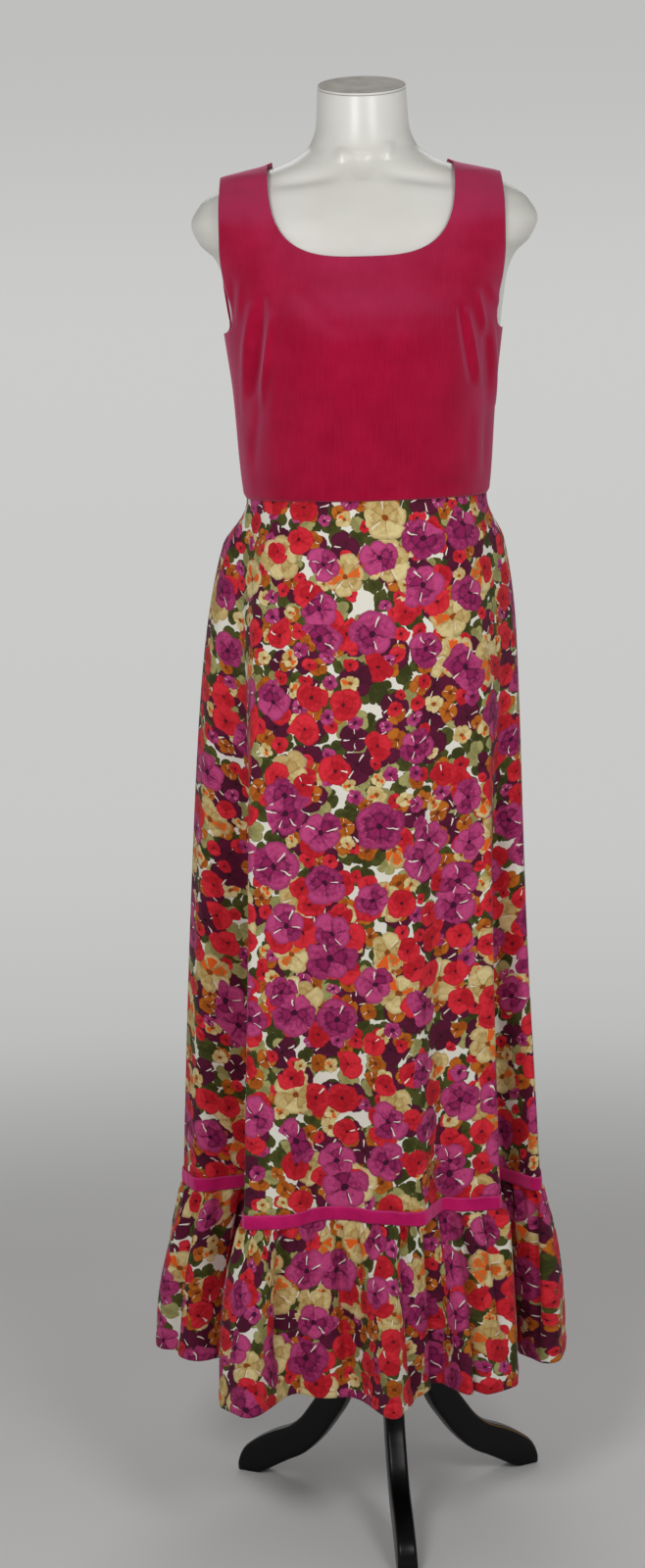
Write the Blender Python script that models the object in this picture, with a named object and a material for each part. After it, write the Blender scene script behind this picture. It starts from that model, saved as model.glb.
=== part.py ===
"""Sleeveless printed maxi dress on a limbless dress form with a painted tripod stand.

The model is in metres with +Z up. It stands on the plane z = 0 and its front faces -Y. The pole's axis is a
little to the right of the origin, because the hem swings to the left and the origin is the middle of the
whole object's footprint. Every cloth piece is a thin wall: a surface worked out from the tables of sections
and folds below, and the same surface moved inwards by the cloth's thickness.
"""

import math
from collections import namedtuple

import bmesh
import bpy
from mathutils import Vector

MM = 0.001

# Place of the pole's axis, from the middle of the footprint
AXIS_X = 31.0 * MM
AXIS_Y = 4.5 * MM

# Cloth
GAP = 0.3 * MM
VELVETEEN = 1.8 * MM
COTTON = 1.5 * MM
RIBBON_CLOTH = 1.2 * MM
RIBBON_LIFT = 0.45 * MM

# Heights above the floor
WAIST_Z = 1143 * MM
UNDERARM_Z = 1316 * MM
RIBBON_SEAM_Z = 385 * MM
RIBBON_WIDTH = 16 * MM
FORM_BASE_Z = 860 * MM
NECK_TOP_Z = 1565.6 * MM

# Bodice openings, measured from the dress's own middle line
DRESS_SHIFT = -3.5 * MM
NECK_HALF = 97 * MM
NECK_LOW_Z = 1392 * MM
NECK_SQUARENESS = 3.2
BACK_NECK_HALF = 92 * MM
BACK_NECK_LOW_Z = 1447 * MM
ARMHOLE_RISE = 12 * MM
SHOULDER_RIDGE_LOW_Z = 1429 * MM
SHOULDER_RIDGE_TOP_Z = 1496 * MM
SHOULDER_SEAM_REACH = 12 * MM

# Zip at the centre back
ZIP_OPEN_HALF = 2.6 * MM
ZIP_CHAIN_HALF = 2.2 * MM
ZIP_CHAIN_THICK = 1.6 * MM
ZIP_END_Z = 985 * MM
ZIP_ROWS = (1420, 1393, 1360, 1327, 1292, 1260, 1225, 1190, 1160, 1144, 1142.7, 1118, 1085, 1035, 988)
ZIP_TOP_DROP = 4 * MM
SLIDER_DROP = 8 * MM
SLIDER_SIZE = (8 * MM, 2.2 * MM, 10 * MM)
SLIDER_CORNER = 2 * MM
HINGE_OFF_PLATE = 0.5 * MM
HINGE_BELOW_TOP = 3 * MM
EAR_THICK = 1.2 * MM
EAR_HEIGHT = 3.2 * MM
EAR_PAST_PIN = 0.6 * MM
EAR_HALF_SPACE = 2.1 * MM
PULL_WIDTH = 3.4 * MM
PULL_THICK = 1.3 * MM
PULL_LENGTH = 20 * MM
PULL_EYE_RADIUS = 1.8 * MM
PULL_HOLE_RADIUS = 0.95 * MM
PULL_NECK_DROP = 1 * MM
PULL_EYE_STEPS = 8
PIN_RADIUS = 0.6 * MM
PIN_SIDES = 12
HOLE_SIDES = 16

# Stand
POLE_RADIUS = 13 * MM
HUB_RADIUS = 26 * MM
HUB_LOW_Z = 128 * MM
HUB_TOP_Z = 262 * MM
LEG_THICK = 22 * MM
LEG_TURNS = (("leg_front", 4.0), ("leg_right", 120.0), ("leg_left", -120.0))
BASE_RADIUS = 62 * MM
BASE_THICK = 18 * MM
BASE_CHAMFER = 3 * MM
HUB_CHAMFER = 5 * MM
LEG_ROOT_DROP = 12 * MM
LEG_ROOT_TRIM = 3 * MM
NECK_CAP_THICK = 3 * MM
CAP_INSET = 0.2 * MM
CAP_LOW_CHAMFER = 0.6 * MM
CAP_TOP_CHAMFER = 0.8 * MM
NECK_TILT = math.radians(14.5)
TORSO_SIDES = 40
TURNED_SIDES = 32

# How the surfaces are worked out
HALVINGS = 30
NORMAL_STEP = 0.5 * MM
HEIGHT_STEP = 1 * MM
FOLD_STEP = 0.02
DROP_STEP = 0.01
SAME_PLACE = 0.01 * MM

# A horizontal section of the torso or the bodice: height, half width, reach to the front and to the back
Section = namedtuple("Section", "z half front back")

FORM_SECTIONS = [
    Section(860, 136, 98, 108),
    Section(900, 142, 104, 113),
    Section(970, 145, 106, 114),
    Section(1040, 135, 100, 103),
    Section(1100, 123, 92, 87),
    Section(1143, 121, 92, 84),
    Section(1200, 127, 101, 88),
    Section(1260, 134, 113, 93),
    Section(1300, 139, 116, 97),
    Section(1340, 144, 108, 99),
    Section(1372, 149, 97, 99),
    Section(1393, 158, 90, 97),
    Section(1409, 174, 85, 93),
    Section(1429, 182, 79, 88),
    Section(1449, 172, 71, 82),
    Section(1464, 151, 65, 75),
    Section(1475, 126, 60, 68),
    Section(1483.2, 101, 56, 62),
    Section(1492.2, 77, 53, 58),
    Section(1506, 57, 50, 54),
    Section(1528, 48.6, 47.6, 49.6),
    Section(1556, 46.2, 45.4, 47.2),
]

# Heights of the torso's rings, in millimetres
TORSO_ROWS = (
    (860, 885, 920, 970, 1020, 1070, 1110, 1150, 1200, 1250, 1295, 1340, 1372, 1388, 1400, 1412)
    + (1424, 1438, 1449, 1458, 1466, 1474, 1481, 1487, 1493, 1501, 1513, 1530)
)

BODICE_SECTIONS = [
    Section(1143, 128, 100, 91),
    Section(1150, 131, 102, 92),
    Section(1180, 134, 107, 94),
    Section(1220, 137, 114, 97),
    Section(1260, 140, 121, 100),
    Section(1300, 145, 123, 103),
    Section(1327, 149, 119, 105),
    Section(1360, 157, 108, 106),
    Section(1393, 170, 98, 104),
    Section(1410, 182, 92, 102.5),
    Section(1429, 190, 86, 97),
    Section(1450, 182, 78, 90),
    Section(1466, 163, 71, 82),
    Section(1476.5, 146.5, 66, 75),
    Section(1482, 125, 62, 70),
    Section(1488, 100, 58.5, 65.5),
    Section(1496, 81, 56, 62),
]

# Where the cut edge of each armhole runs: height and distance from the dress's middle line
ArmEdge = namedtuple("ArmEdge", "z front back")

ARM_EDGES = [
    ArmEdge(1316, 137, 140),
    ArmEdge(1345, 139, 145),
    ArmEdge(1372, 145, 148),
    ArmEdge(1400, 148, 148),
    ArmEdge(1440, 148, 147),
    ArmEdge(1476, 146, 146),
]

# A column of a bodice panel: its place on the underarm row, the height where the neckline cuts it off, and
# its place across the strap, from 0 at the neckline to 1 at the armhole
Column = namedtuple("Column", "x top across")

STRAP_TURN = math.radians(18)
NECK_DEGREES = (90, 72, 56, 42, 29)
SIDE_DEGREES = (79, 84.5, 90)
BODICE_ROWS = (1143.15, 1160, 1190, 1225, 1260, 1292)
MIDDLE_SHARES = (0.2, 0.4, 0.6, 0.8, 1.0)
STRAP_COLUMNS = (0.0, 0.3, 0.58, 0.82, 1.0)
STRAP_SHARES = (0.25, 0.48, 0.68, 0.84, 0.94, 1.0)

# A fold of the skirt, seen from above. turn is its place round the waist in degrees from the centre front,
# then come its corner (x, y) from the pole's axis at the hip, the knee and the ribbon, and how soft it is:
# 0 is a knife edge and 1 is fully round.
Fold = namedtuple("Fold", "name turn hip knee ribbon soft")

FOLDS = [
    Fold("back_centre", -180, (0, 124), (0, 150), (0, 165), 0.8),
    Fold("back_left_valley", -155, (-58, 118), (-60, 116), (-60, 116), 0.7),
    Fold("back_left_lobe", -130, (-112, 98), (-126, 130), (-136, 152), 0.7),
    Fold("left_back_valley", -108, (-150, 62), (-148, 72), (-150, 78), 0.6),
    Fold("left_side", -89, (-184, 20), (-211, 30), (-230, 30), 0.6),
    Fold("left_side_front", -77, (-172, -26), (-193, -30), (-206, -28), 0.6),
    Fold("left_valley", -68, (-139, -47), (-134, -16), (-137, 4), 0.35),
    Fold("front_left_edge", -59, (-127, -92), (-141, -130), (-154, -152), 0.22),
    Fold("front_left_flat", -40, (-80, -118), (-92, -140), (-106, -153), 0.8),
    Fold("front_left_dip", -20, (-38, -119), (-50, -128), (-63, -120), 0.8),
    Fold("front_centre", 0, (0, -123), (-5, -140), (3, -148), 0.8),
    Fold("front_right_ridge", 18, (36, -120), (36, -144), (38, -156), 0.6),
    Fold("front_right_step", 36, (68, -112), (62, -114), (58, -103), 0.5),
    Fold("front_right_flat", 48, (96, -102), (93, -110), (90, -110), 0.8),
    Fold("front_right_edge", 59, (117, -86), (119, -102), (123, -106), 0.22),
    Fold("right_valley", 68, (136, -50), (122, -26), (126, 0), 0.35),
    Fold("right_side_front", 78, (153, -26), (160, -42), (172, -52), 0.6),
    Fold("right_side", 92, (157, 24), (161, 20), (172, 12), 0.7),
    Fold("right_back_valley", 110, (140, 68), (128, 66), (128, 64), 0.6),
    Fold("back_right_lobe", 132, (108, 102), (122, 132), (130, 154), 0.7),
    Fold("back_right_valley", 156, (56, 118), (58, 118), (60, 122), 0.7),
]
LEFT_SEAM = 4.0
RIGHT_SEAM = 17.0
LEVELS = {"hip": 985 * MM, "knee": 690 * MM, "ribbon": RIBBON_SEAM_Z}
FLARE_POWER = 0.6
WAIST_EASE = 1.01
SEAM_BLEND = 50 * MM
LEAST_COLUMN = 0.1
COLUMN_PARTS = (-0.5, -0.17, 0.17, 0.5)

# Heights of the skirt's rows between its two seams, in millimetres. Two of them frame the end of the zip.
SKIRT_ROWS = (1112, 1060, 986, 983, 860, 690, 540)

# A fold of the flounce's hem: the skirt fold it hangs from, its corner (x, y), the height of the hem there
# and its softness. Numbers between two skirt folds are gathers that start between them.
HemFold = namedtuple("HemFold", "at x y z soft")

HEM_FOLDS = [
    HemFold(0.0, 0, 196, 188, 0.8),
    HemFold(0.6, -36, 144, 184, 0.7),
    HemFold(1.1, -72, 180, 187, 0.7),
    HemFold(1.7, -106, 138, 183, 0.7),
    HemFold(2.3, -152, 182, 189, 0.7),
    HemFold(3.0, -170, 108, 184, 0.6),
    HemFold(3.5, -222, 104, 188, 0.7),
    HemFold(4.0, -236, 46, 186, 0.7),
    HemFold(4.5, -262, 4, 190, 0.7),
    HemFold(5.2, -214, -54, 190, 0.6),
    HemFold(6.0, -158, -6, 184, 0.4),
    HemFold(6.9, -184, -160, 184, 0.4),
    HemFold(7.3, -150, -200, 182, 0.6),
    HemFold(8.0, -108, -132, 186, 0.7),
    HemFold(8.7, -72, -156, 186, 0.8),
    HemFold(9.3, -36, -140, 183, 0.7),
    HemFold(10.0, 3, -208, 180, 0.5),
    HemFold(10.7, 34, -142, 184, 0.6),
    HemFold(11.3, 56, -118, 188, 0.5),
    HemFold(12.2, 84, -160, 188, 0.7),
    HemFold(13.2, 112, -146, 184, 0.7),
    HemFold(14.0, 138, -128, 186, 0.4),
    HemFold(15.0, 142, -16, 182, 0.4),
    HemFold(16.0, 180, -66, 184, 0.6),
    HemFold(16.6, 198, -6, 184, 0.7),
    HemFold(17.3, 174, 44, 184, 0.7),
    HemFold(18.0, 144, 78, 182, 0.6),
    HemFold(18.6, 160, 132, 187, 0.7),
    HemFold(19.2, 112, 160, 188, 0.7),
    HemFold(19.8, 84, 132, 184, 0.7),
    HemFold(20.4, 44, 176, 187, 0.7),
]
FLOUNCE_FLARE = 1.8
FLOUNCE_ROWS = (0.0, 0.16, 0.38, 0.66, 1.0)

# Centre line of a leg in its own upright plane: distance from the pole's axis, height, and half depth there
LegStation = namedtuple("LegStation", "reach z half")

LEG_STATIONS = [
    LegStation(42, 250, 16),
    LegStation(47, 200, 16),
    LegStation(56, 150, 16.5),
    LegStation(69, 113, 17),
    LegStation(85, 88, 17),
    LegStation(101, 67, 17),
    LegStation(120, 50, 18),
    LegStation(143, 38, 19),
    LegStation(166, 24, 19),
]

# The round end of a leg, from its upper edge to its sole: reach and height, in millimetres
LEG_TOE = ((189, 29), (196, 16), (198, 5), (196, 0), (168, 0), (160, 4))


def between(rows, column, z):
    """Value of a table's column at a height, on a smooth monotone curve. Tables are in millimetres."""
    keys = [row.z for row in rows]
    values = [getattr(row, column) for row in rows]
    return hermite(keys, values, z / MM) * MM


def hermite(keys, values, at):
    """Monotone cubic through (keys, values), held level past both ends."""
    if at <= keys[0]:
        return values[0]
    if at >= keys[-1]:
        return values[-1]
    slopes = [(v2 - v1) / (k2 - k1) for k1, k2, v1, v2 in zip(keys, keys[1:], values, values[1:])]
    tangents = [slopes[0]]
    for before, after in zip(slopes, slopes[1:]):
        tangents.append(0.0 if before * after <= 0 else 2 * before * after / (before + after))
    tangents.append(slopes[-1])
    i = max(k for k in range(len(keys) - 1) if keys[k] <= at)
    step = keys[i + 1] - keys[i]
    t = (at - keys[i]) / step
    rise = values[i + 1] - values[i]
    start = tangents[i] * step
    end = tangents[i + 1] * step
    return values[i] + t * start + t * t * (3 * rise - 2 * start - end) + t**3 * (start + end - 2 * rise)


def smoothstep(t):
    """Eases from 0 to 1."""
    t = min(1.0, max(0.0, t))
    return t * t * (3 - 2 * t)


def section_at(sections, z):
    """Half width, front reach and back reach at a height, in metres."""
    return [between(sections, column, z) for column in ("half", "front", "back")]


def section_point(sections, turn, z, shift=0.0):
    """Point of a section at turn radians from the centre front, positive towards +X."""
    half, front, back = section_at(sections, z)
    depth = front if math.cos(turn) > 0 else back
    return Vector((shift + half * math.sin(turn), -depth * math.cos(turn), z))


def soft_corner(before, corner, after, d, soft):
    """Point of a rounded corner. d runs from -0.5, half way from the corner before, to 0.5."""
    start = corner.lerp((before + corner) / 2, soft)
    end = corner.lerp((corner + after) / 2, soft)
    if abs(d) >= soft / 2:
        side = (before + corner) / 2 if d < 0 else (corner + after) / 2
        near = start if d < 0 else end
        return near.lerp(side, (abs(d) - soft / 2) / (0.5 - soft / 2))
    t = d / soft + 0.5
    return start * (1 - t) ** 2 + corner * (2 * t * (1 - t)) + end * t**2


def ring_point(corners, softness, u):
    """Point of a closed ring of rounded corners. Whole numbers of u are the corners."""
    count = len(corners)
    k = math.floor(u + 0.5)
    before, corner, after = (corners[(k + step) % count] for step in (-1, 0, 1))
    return soft_corner(before, corner, after, u - k, softness[k % count])


def fold_turn(u):
    """Place round the waist, in radians, of a place among the folds."""
    count = len(FOLDS)
    turns = [fold.turn for fold in FOLDS] + [180]
    u = u % count
    k = int(u)
    return math.radians(turns[k] + (turns[k + 1] - turns[k]) * (u - k))


def fall(z):
    """Share of the flare reached at a height: 0 at the waist and 1 at the ribbon."""
    return max(0.0, (WAIST_Z - z) / (WAIST_Z - RIBBON_SEAM_Z)) ** FLARE_POWER


def skirt_surface(u, z):
    """Outer surface of the skirt, from the pole's axis."""
    keys = [0.0] + [fall(height) for height in LEVELS.values()]
    corners = []
    for fold in FOLDS:
        waist = section_point(BODICE_SECTIONS, math.radians(fold.turn), WAIST_Z, DRESS_SHIFT) * WAIST_EASE
        places = [waist.xy / MM] + [Vector(getattr(fold, level)) for level in LEVELS]
        x = hermite(keys, [place[0] for place in places], fall(z)) * MM
        y = hermite(keys, [place[1] for place in places], fall(z)) * MM
        corners.append(Vector((x, y, z)))
    hung = ring_point(corners, [fold.soft for fold in FOLDS], u)
    sewn = section_point(BODICE_SECTIONS, fold_turn(u), WAIST_Z, DRESS_SHIFT)
    sewn.z = z
    return sewn.lerp(hung, smoothstep((WAIST_Z - z) / SEAM_BLEND))


def hem_point(u):
    """Point of the flounce's hem below a place among the skirt's folds."""
    count = len(HEM_FOLDS)
    places = [fold.at for fold in HEM_FOLDS] + [len(FOLDS)]
    u = u % len(FOLDS)
    k = max(i for i in range(count) if places[i] <= u)
    v = k + (u - places[k]) / (places[k + 1] - places[k])
    corners = [Vector((fold.x, fold.y, fold.z)) * MM for fold in HEM_FOLDS]
    return ring_point(corners, [fold.soft for fold in HEM_FOLDS], v)


def flounce_surface(u, t):
    """Outer surface of the flounce: t is 0 at the seam, below 0 above it, and 1 at the hem."""
    low_edge = RIBBON_SEAM_Z - RIBBON_WIDTH / 2
    if t <= 0:
        return skirt_surface(u, low_edge - t)
    top = skirt_surface(u, low_edge)
    hem = hem_point(u)
    spread = 1 - max(0.0, 1 - t) ** FLOUNCE_FLARE
    x = top.x + (hem.x - top.x) * spread
    y = top.y + (hem.y - top.y) * spread
    return Vector((x, y, top.z + (hem.z - top.z) * t))


def shoulder_z(x):
    """Height of the shoulder ridge of the bodice at a distance from its middle line."""
    low, high = SHOULDER_RIDGE_LOW_Z, SHOULDER_RIDGE_TOP_Z
    for _ in range(HALVINGS):
        middle = (low + high) / 2
        if section_at(BODICE_SECTIONS, middle)[0] > abs(x):
            low = middle
        else:
            high = middle
    return low


def bodice_point(x, z, side):
    """Outer surface of the bodice at a distance x from its middle line. side is -1 in front, 1 behind."""
    half, front, back = section_at(BODICE_SECTIONS, z)
    depth = front if side < 0 else back
    share = min(1.0, abs(x) / half)
    return Vector((x + DRESS_SHIFT, side * depth * math.sqrt(max(0.0, 1 - share * share)), z))


def neck_half(side):
    """Half width of the neckline at the shoulder."""
    return NECK_HALF if side < 0 else BACK_NECK_HALF


def neck_edge(turn, side):
    """Neckline at turn radians, from 0 at the shoulder to a right angle at its lowest point: (x, z)."""
    low = NECK_LOW_Z if side < 0 else BACK_NECK_LOW_Z
    power = 2 / NECK_SQUARENESS
    top = shoulder_z(neck_half(side))
    return neck_half(side) * math.cos(turn) ** power, top - (top - low) * math.sin(turn) ** power


def strap_inner_x(z, side):
    """Inner edge of the strap: the neckline, held upright below the place where it turns inwards."""
    low = NECK_LOW_Z if side < 0 else BACK_NECK_LOW_Z
    top = shoulder_z(neck_half(side))
    power = 2 / NECK_SQUARENESS
    sine = min(math.sin(STRAP_TURN), max(0.0, (top - z) / (top - low)) ** (1 / power))
    return neck_half(side) * (1 - sine * sine) ** (power / 2)


def strap_outer_x(z, side):
    """Outer edge of the strap: the cut edge of the armhole."""
    return between(ARM_EDGES, "front" if side < 0 else "back", z)


def low_edge_z(x, side):
    """Height of the row that the armhole's underside lies on."""
    inner = strap_outer_x(UNDERARM_Z, side)
    outer = section_at(BODICE_SECTIONS, UNDERARM_Z)[0]
    share = min(1.0, max(0.0, (outer - abs(x)) / (outer - inner)))
    return UNDERARM_Z + ARMHOLE_RISE * (1 - math.sqrt(max(0.0, 1 - share * share)))


def half_columns(side):
    """Columns of half a panel on the underarm row, from the middle outwards."""
    columns = []
    for degrees in NECK_DEGREES:
        x, top = neck_edge(math.radians(degrees), side)
        columns.append(Column(x, top, None))
    inner = strap_inner_x(UNDERARM_Z, side)
    arm = strap_outer_x(UNDERARM_Z, side)
    for across in STRAP_COLUMNS:
        columns.append(Column(inner + across * (arm - inner), None, across))
    outer = section_at(BODICE_SECTIONS, UNDERARM_Z)[0]
    for degrees in SIDE_DEGREES:
        columns.append(Column(outer * math.sin(math.radians(degrees)), None, None))
    return columns


def mirrored(column):
    """The same column on the other side of the middle line."""
    return Column(-column.x, column.top, column.across)


def bodice_grids(side, panel):
    """Grids of surface points and normals of a panel, up to the underarm, up to the neckline and over the
    straps."""
    half_line = half_columns(side)
    reflected = [mirrored(column) for column in reversed(half_line)]
    line = {"both": reflected[:-1] + half_line, "left": reflected, "right": half_line}[panel]
    at_start = ZIP_OPEN_HALF if panel == "right" else 0.0
    at_end = ZIP_OPEN_HALF if panel == "left" else 0.0
    lower = [[bodice_row_point(column.x, z * MM, side) for column in line] for z in BODICE_ROWS]
    lower.append([bodice_row_point(column.x, low_edge_z(column.x, side), side) for column in line])
    lower = [moved_edge(row, at_start or GAP / 2, at_end or GAP / 2) for row in lower]
    raised = [column for column in line if column.top is not None or column.across is not None]
    first = line.index(raised[0])
    middle = [lower[-1][first : first + len(raised)]]
    for share in MIDDLE_SHARES:
        row = [middle_point(column, share, side) for column in raised]
        middle.append(moved_edge(row, at_start, at_end))
    grids = [lower, middle]
    for sign in {"both": (-1, 1), "left": (-1,), "right": (1,)}[panel]:
        columns = [column for column in raised if column.across is not None and column.x * sign > 0]
        strap = [[middle[-1][raised.index(column)] for column in columns]]
        for share in STRAP_SHARES:
            strap.append([strap_point(column, share, side) for column in columns])
        strap[-1] = [seam_set_back(place, normal, side) for place, normal in strap[-1]]
        grids.append(strap)
    return grids


def bodice_row_point(x, z, side):
    """Point and normal of a lower row, where a column keeps its share of the section's width."""
    outer = section_at(BODICE_SECTIONS, UNDERARM_Z)[0]
    share = max(-1.0, min(1.0, x / outer))
    place = bodice_point(share * section_at(BODICE_SECTIONS, z)[0], z, side)
    return place, bodice_normal(place, side)


def middle_point(column, share, side):
    """Point and normal between the underarm row and the neckline, or the foot of the strap."""
    start = low_edge_z(column.x, side)
    end = neck_edge(STRAP_TURN, side)[1] if column.top is None else column.top
    z = start + (end - start) * share
    x = column.x if column.across is None else strap_x(column, z, side)
    place = bodice_point(x, z, side)
    return place, bodice_normal(place, side)


def strap_point(column, share, side):
    """Point and normal of a strap, from its foot to the shoulder ridge."""
    start = neck_edge(STRAP_TURN, side)[1]
    inner = neck_half(side)
    outer = strap_outer_x(ARM_EDGES[-1].z * MM, side)
    end = shoulder_z(inner + column.across * (outer - inner))
    z = start + (end - start) * math.sin(share * math.pi / 2)
    place = bodice_point(strap_x(column, z, side), z, side)
    return place, bodice_normal(place, side)


def strap_x(column, z, side):
    """Place of a strap's column between the neckline and the armhole's edge."""
    inner = strap_inner_x(z, side)
    return math.copysign(inner + column.across * (strap_outer_x(z, side) - inner), column.x)


def bodice_normal(place, side):
    """Outward normal of the bodice's surface, from its sections just above and below."""
    half, front, back = section_at(BODICE_SECTIONS, place.z)
    depth = front if side < 0 else back
    x = place.x - DRESS_SHIFT
    above = section_at(BODICE_SECTIONS, place.z + NORMAL_STEP)
    below = section_at(BODICE_SECTIONS, place.z - NORMAL_STEP)
    index = 1 if side < 0 else 2
    growth = (above[0] - below[0]) / (2 * NORMAL_STEP)
    deepening = (above[index] - below[index]) / (2 * NORMAL_STEP)
    normal = Vector((x / half**2, place.y / depth**2, 0))
    normal.z = -(x * x * growth / half**3 + place.y**2 * deepening / depth**3)
    return normal.normalized()


def surface_normal(surface, u, v, step_u, step_v):
    """Outward normal of a surface whose u runs counter-clockwise seen from above and v downwards."""
    along = surface(u + step_u, v) - surface(u - step_u, v)
    down = surface(u, v + step_v) - surface(u, v - step_v)
    return down.cross(along).normalized()


def skirt_normal(u, z):
    """Outward normal of the skirt."""
    return surface_normal(lambda a, b: skirt_surface(a, -b), u, -z, FOLD_STEP, HEIGHT_STEP)


def material(name, colour, roughness, metallic=0.0):
    """Plain finish of a part."""
    made = bpy.data.materials.new(name)
    made.use_nodes = True
    shader = made.node_tree.nodes["Principled BSDF"]
    shader.inputs["Base Color"].default_value = (*colour, 1.0)
    shader.inputs["Roughness"].default_value = roughness
    shader.inputs["Metallic"].default_value = metallic
    return made


def add_object(name, bm, finish, axis, smooth_angle=35):
    """Makes an object of a mesh and stands it on the pole's axis."""
    bmesh.ops.recalc_face_normals(bm, faces=bm.faces)
    mesh = bpy.data.meshes.new(name)
    bm.to_mesh(mesh)
    bm.free()
    mesh.shade_smooth()
    mesh.set_sharp_from_angle(angle=math.radians(smooth_angle))
    mesh.materials.append(finish)
    made = bpy.data.objects.new(name, mesh)
    bpy.context.collection.objects.link(made)
    made.parent = axis
    return made


def moved_edge(row, half_gap_start, half_gap_end):
    """Moves both ends of a row of (point, normal) along the row, so that two panels meet with a gap."""
    out = list(row)
    for index, neighbour, gap in ((0, 1, half_gap_start), (len(row) - 1, len(row) - 2, half_gap_end)):
        place, normal = out[index]
        ahead = out[neighbour][0] - place
        ahead = (ahead - normal * ahead.dot(normal)).normalized()
        out[index] = (place + ahead * gap, normal)
    return out


def grid_cells(grids):
    """Points of one or more grids, without repeats, and the cells between them as rings of indices."""
    points, cells, known = [], [], {}
    for grid in grids:
        rows = []
        for row in grid:
            indices = []
            for place, normal in row:
                key = tuple(place)
                if key not in known:
                    known[key] = len(points)
                    points.append((place, normal))
                indices.append(known[key])
            rows.append(indices)
        for low, high in zip(rows, rows[1:]):
            cells += list(zip(low, low[1:], high[1:], high))
    return points, cells


def split_cell(points, cell):
    """Two triangles of a cell, which meet on the diagonal that stands further out."""
    a, b, c, d = cell
    outwards = sum((points[i][1] for i in cell), Vector())
    rise = points[a][0] + points[c][0] - points[b][0] - points[d][0]
    if rise.dot(outwards) > 0:
        return (a, b, c), (a, c, d)
    return (b, c, d), (b, d, a)


def panel_object(name, grids, thickness, finish, axis, lift=0.0):
    """A cloth panel: an outer and an inner sheet of the same grids, closed along their open edges."""
    points, cells = grid_cells(grids)
    bm = bmesh.new()
    outer = [bm.verts.new(place + normal * lift) for place, normal in points]
    inner = [bm.verts.new(place + normal * (lift - thickness)) for place, normal in points]
    sides = {}
    for cell in cells:
        for corners in split_cell(points, cell):
            bm.faces.new([outer[i] for i in corners])
            bm.faces.new([inner[i] for i in reversed(corners)])
        for pair in zip(cell, cell[1:] + cell[:1]):
            sides.setdefault(frozenset(pair), []).append(pair)
    for pairs in sides.values():
        if len(pairs) == 1:
            a, b = pairs[0]
            bm.faces.new((outer[b], outer[a], inner[a], inner[b]))
    return add_object(name, bm, finish, axis)


def seam_set_back(place, normal, side):
    """Holds the strap's end half a gap away from the shoulder seam, which lies over the ridge."""
    if abs(place.y) > SHOULDER_SEAM_REACH:
        return place, normal
    upright = Vector((normal.x, 0.0, normal.z)).normalized()
    return Vector((place.x, side * GAP / 2, place.z)), upright


def skirt_columns(start, end):
    """Places of the columns between two seams. Skirt, ribbon and flounce share them."""
    count = len(FOLDS)
    kept = [0.0, LEFT_SEAM, RIGHT_SEAM, float(count)]
    marks = [fold.at for fold in HEM_FOLDS]
    for k, fold in enumerate(FOLDS):
        marks += [(k + part * fold.soft) % count for part in COLUMN_PARTS]
    for mark in marks:
        if min(abs(mark - other) for other in kept) > LEAST_COLUMN:
            kept.append(mark)
    return sorted(mark for mark in kept if start <= mark <= end)


def skirt_rows(columns, heights, start_gap, end_gap):
    """Grid of (point, normal) of the skirt, with its ends moved back at the seams."""
    rows = []
    for z in heights:
        row = []
        for u in columns:
            row.append((skirt_surface(u, z), skirt_normal(u, z)))
        rows.append(moved_edge(row, start_gap(z), end_gap(z)))
    return rows


def seam_gap(_z):
    """Half of the gap between two panels."""
    return GAP / 2


def zip_gap(z):
    """Half of the gap at the centre back: open for the zip, and closed below its end."""
    return ZIP_OPEN_HALF if z > ZIP_END_Z - HEIGHT_STEP else GAP / 2


def build_bodice(axis, finish):
    """Front and two backs."""
    for name, side, panel in (
        ("bodice_front", -1, "both"),
        ("bodice_back_left", 1, "left"),
        ("bodice_back_right", 1, "right"),
    ):
        panel_object(name, bodice_grids(side, panel), VELVETEEN, finish, axis)


def build_skirt(axis, finish):
    """Front and two backs, from the waist seam to the flounce seam."""
    low = RIBBON_SEAM_Z + GAP / 2
    heights = [WAIST_Z - GAP / 2] + [z * MM for z in SKIRT_ROWS] + [RIBBON_SEAM_Z + RIBBON_WIDTH / 2, low]
    count = len(FOLDS)
    panels = (
        ("skirt_front", LEFT_SEAM, RIGHT_SEAM, seam_gap, seam_gap),
        ("skirt_back_left", 0.0, LEFT_SEAM, zip_gap, seam_gap),
        ("skirt_back_right", RIGHT_SEAM, float(count), seam_gap, zip_gap),
    )
    for name, start, end, start_gap, end_gap in panels:
        rows = skirt_rows(skirt_columns(start, end), heights, start_gap, end_gap)
        panel_object(name, [rows], COTTON, finish, axis)


def build_flounce(axis, finish):
    """Front and back of the gathered flounce, side seam to side seam."""
    count = len(FOLDS)
    seam = -(RIBBON_WIDTH / 2 - GAP / 2)
    for name, start, end in (
        ("flounce_front", LEFT_SEAM, RIGHT_SEAM),
        ("flounce_back", RIGHT_SEAM, LEFT_SEAM + count),
    ):
        columns = skirt_columns(start, min(end, float(count)))
        if end > count:
            columns += [u + count for u in skirt_columns(0.0, LEFT_SEAM)[1:]]
        rows = []
        for t in (seam, *FLOUNCE_ROWS):
            row = []
            for u in columns:
                if t <= 0:
                    normal = skirt_normal(u, RIBBON_SEAM_Z)
                else:
                    normal = surface_normal(flounce_surface, u, t, FOLD_STEP, DROP_STEP)
                row.append((flounce_surface(u, t), normal))
            rows.append(moved_edge(row, GAP / 2, GAP / 2))
        panel_object(name, [rows], COTTON, finish, axis)


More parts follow.
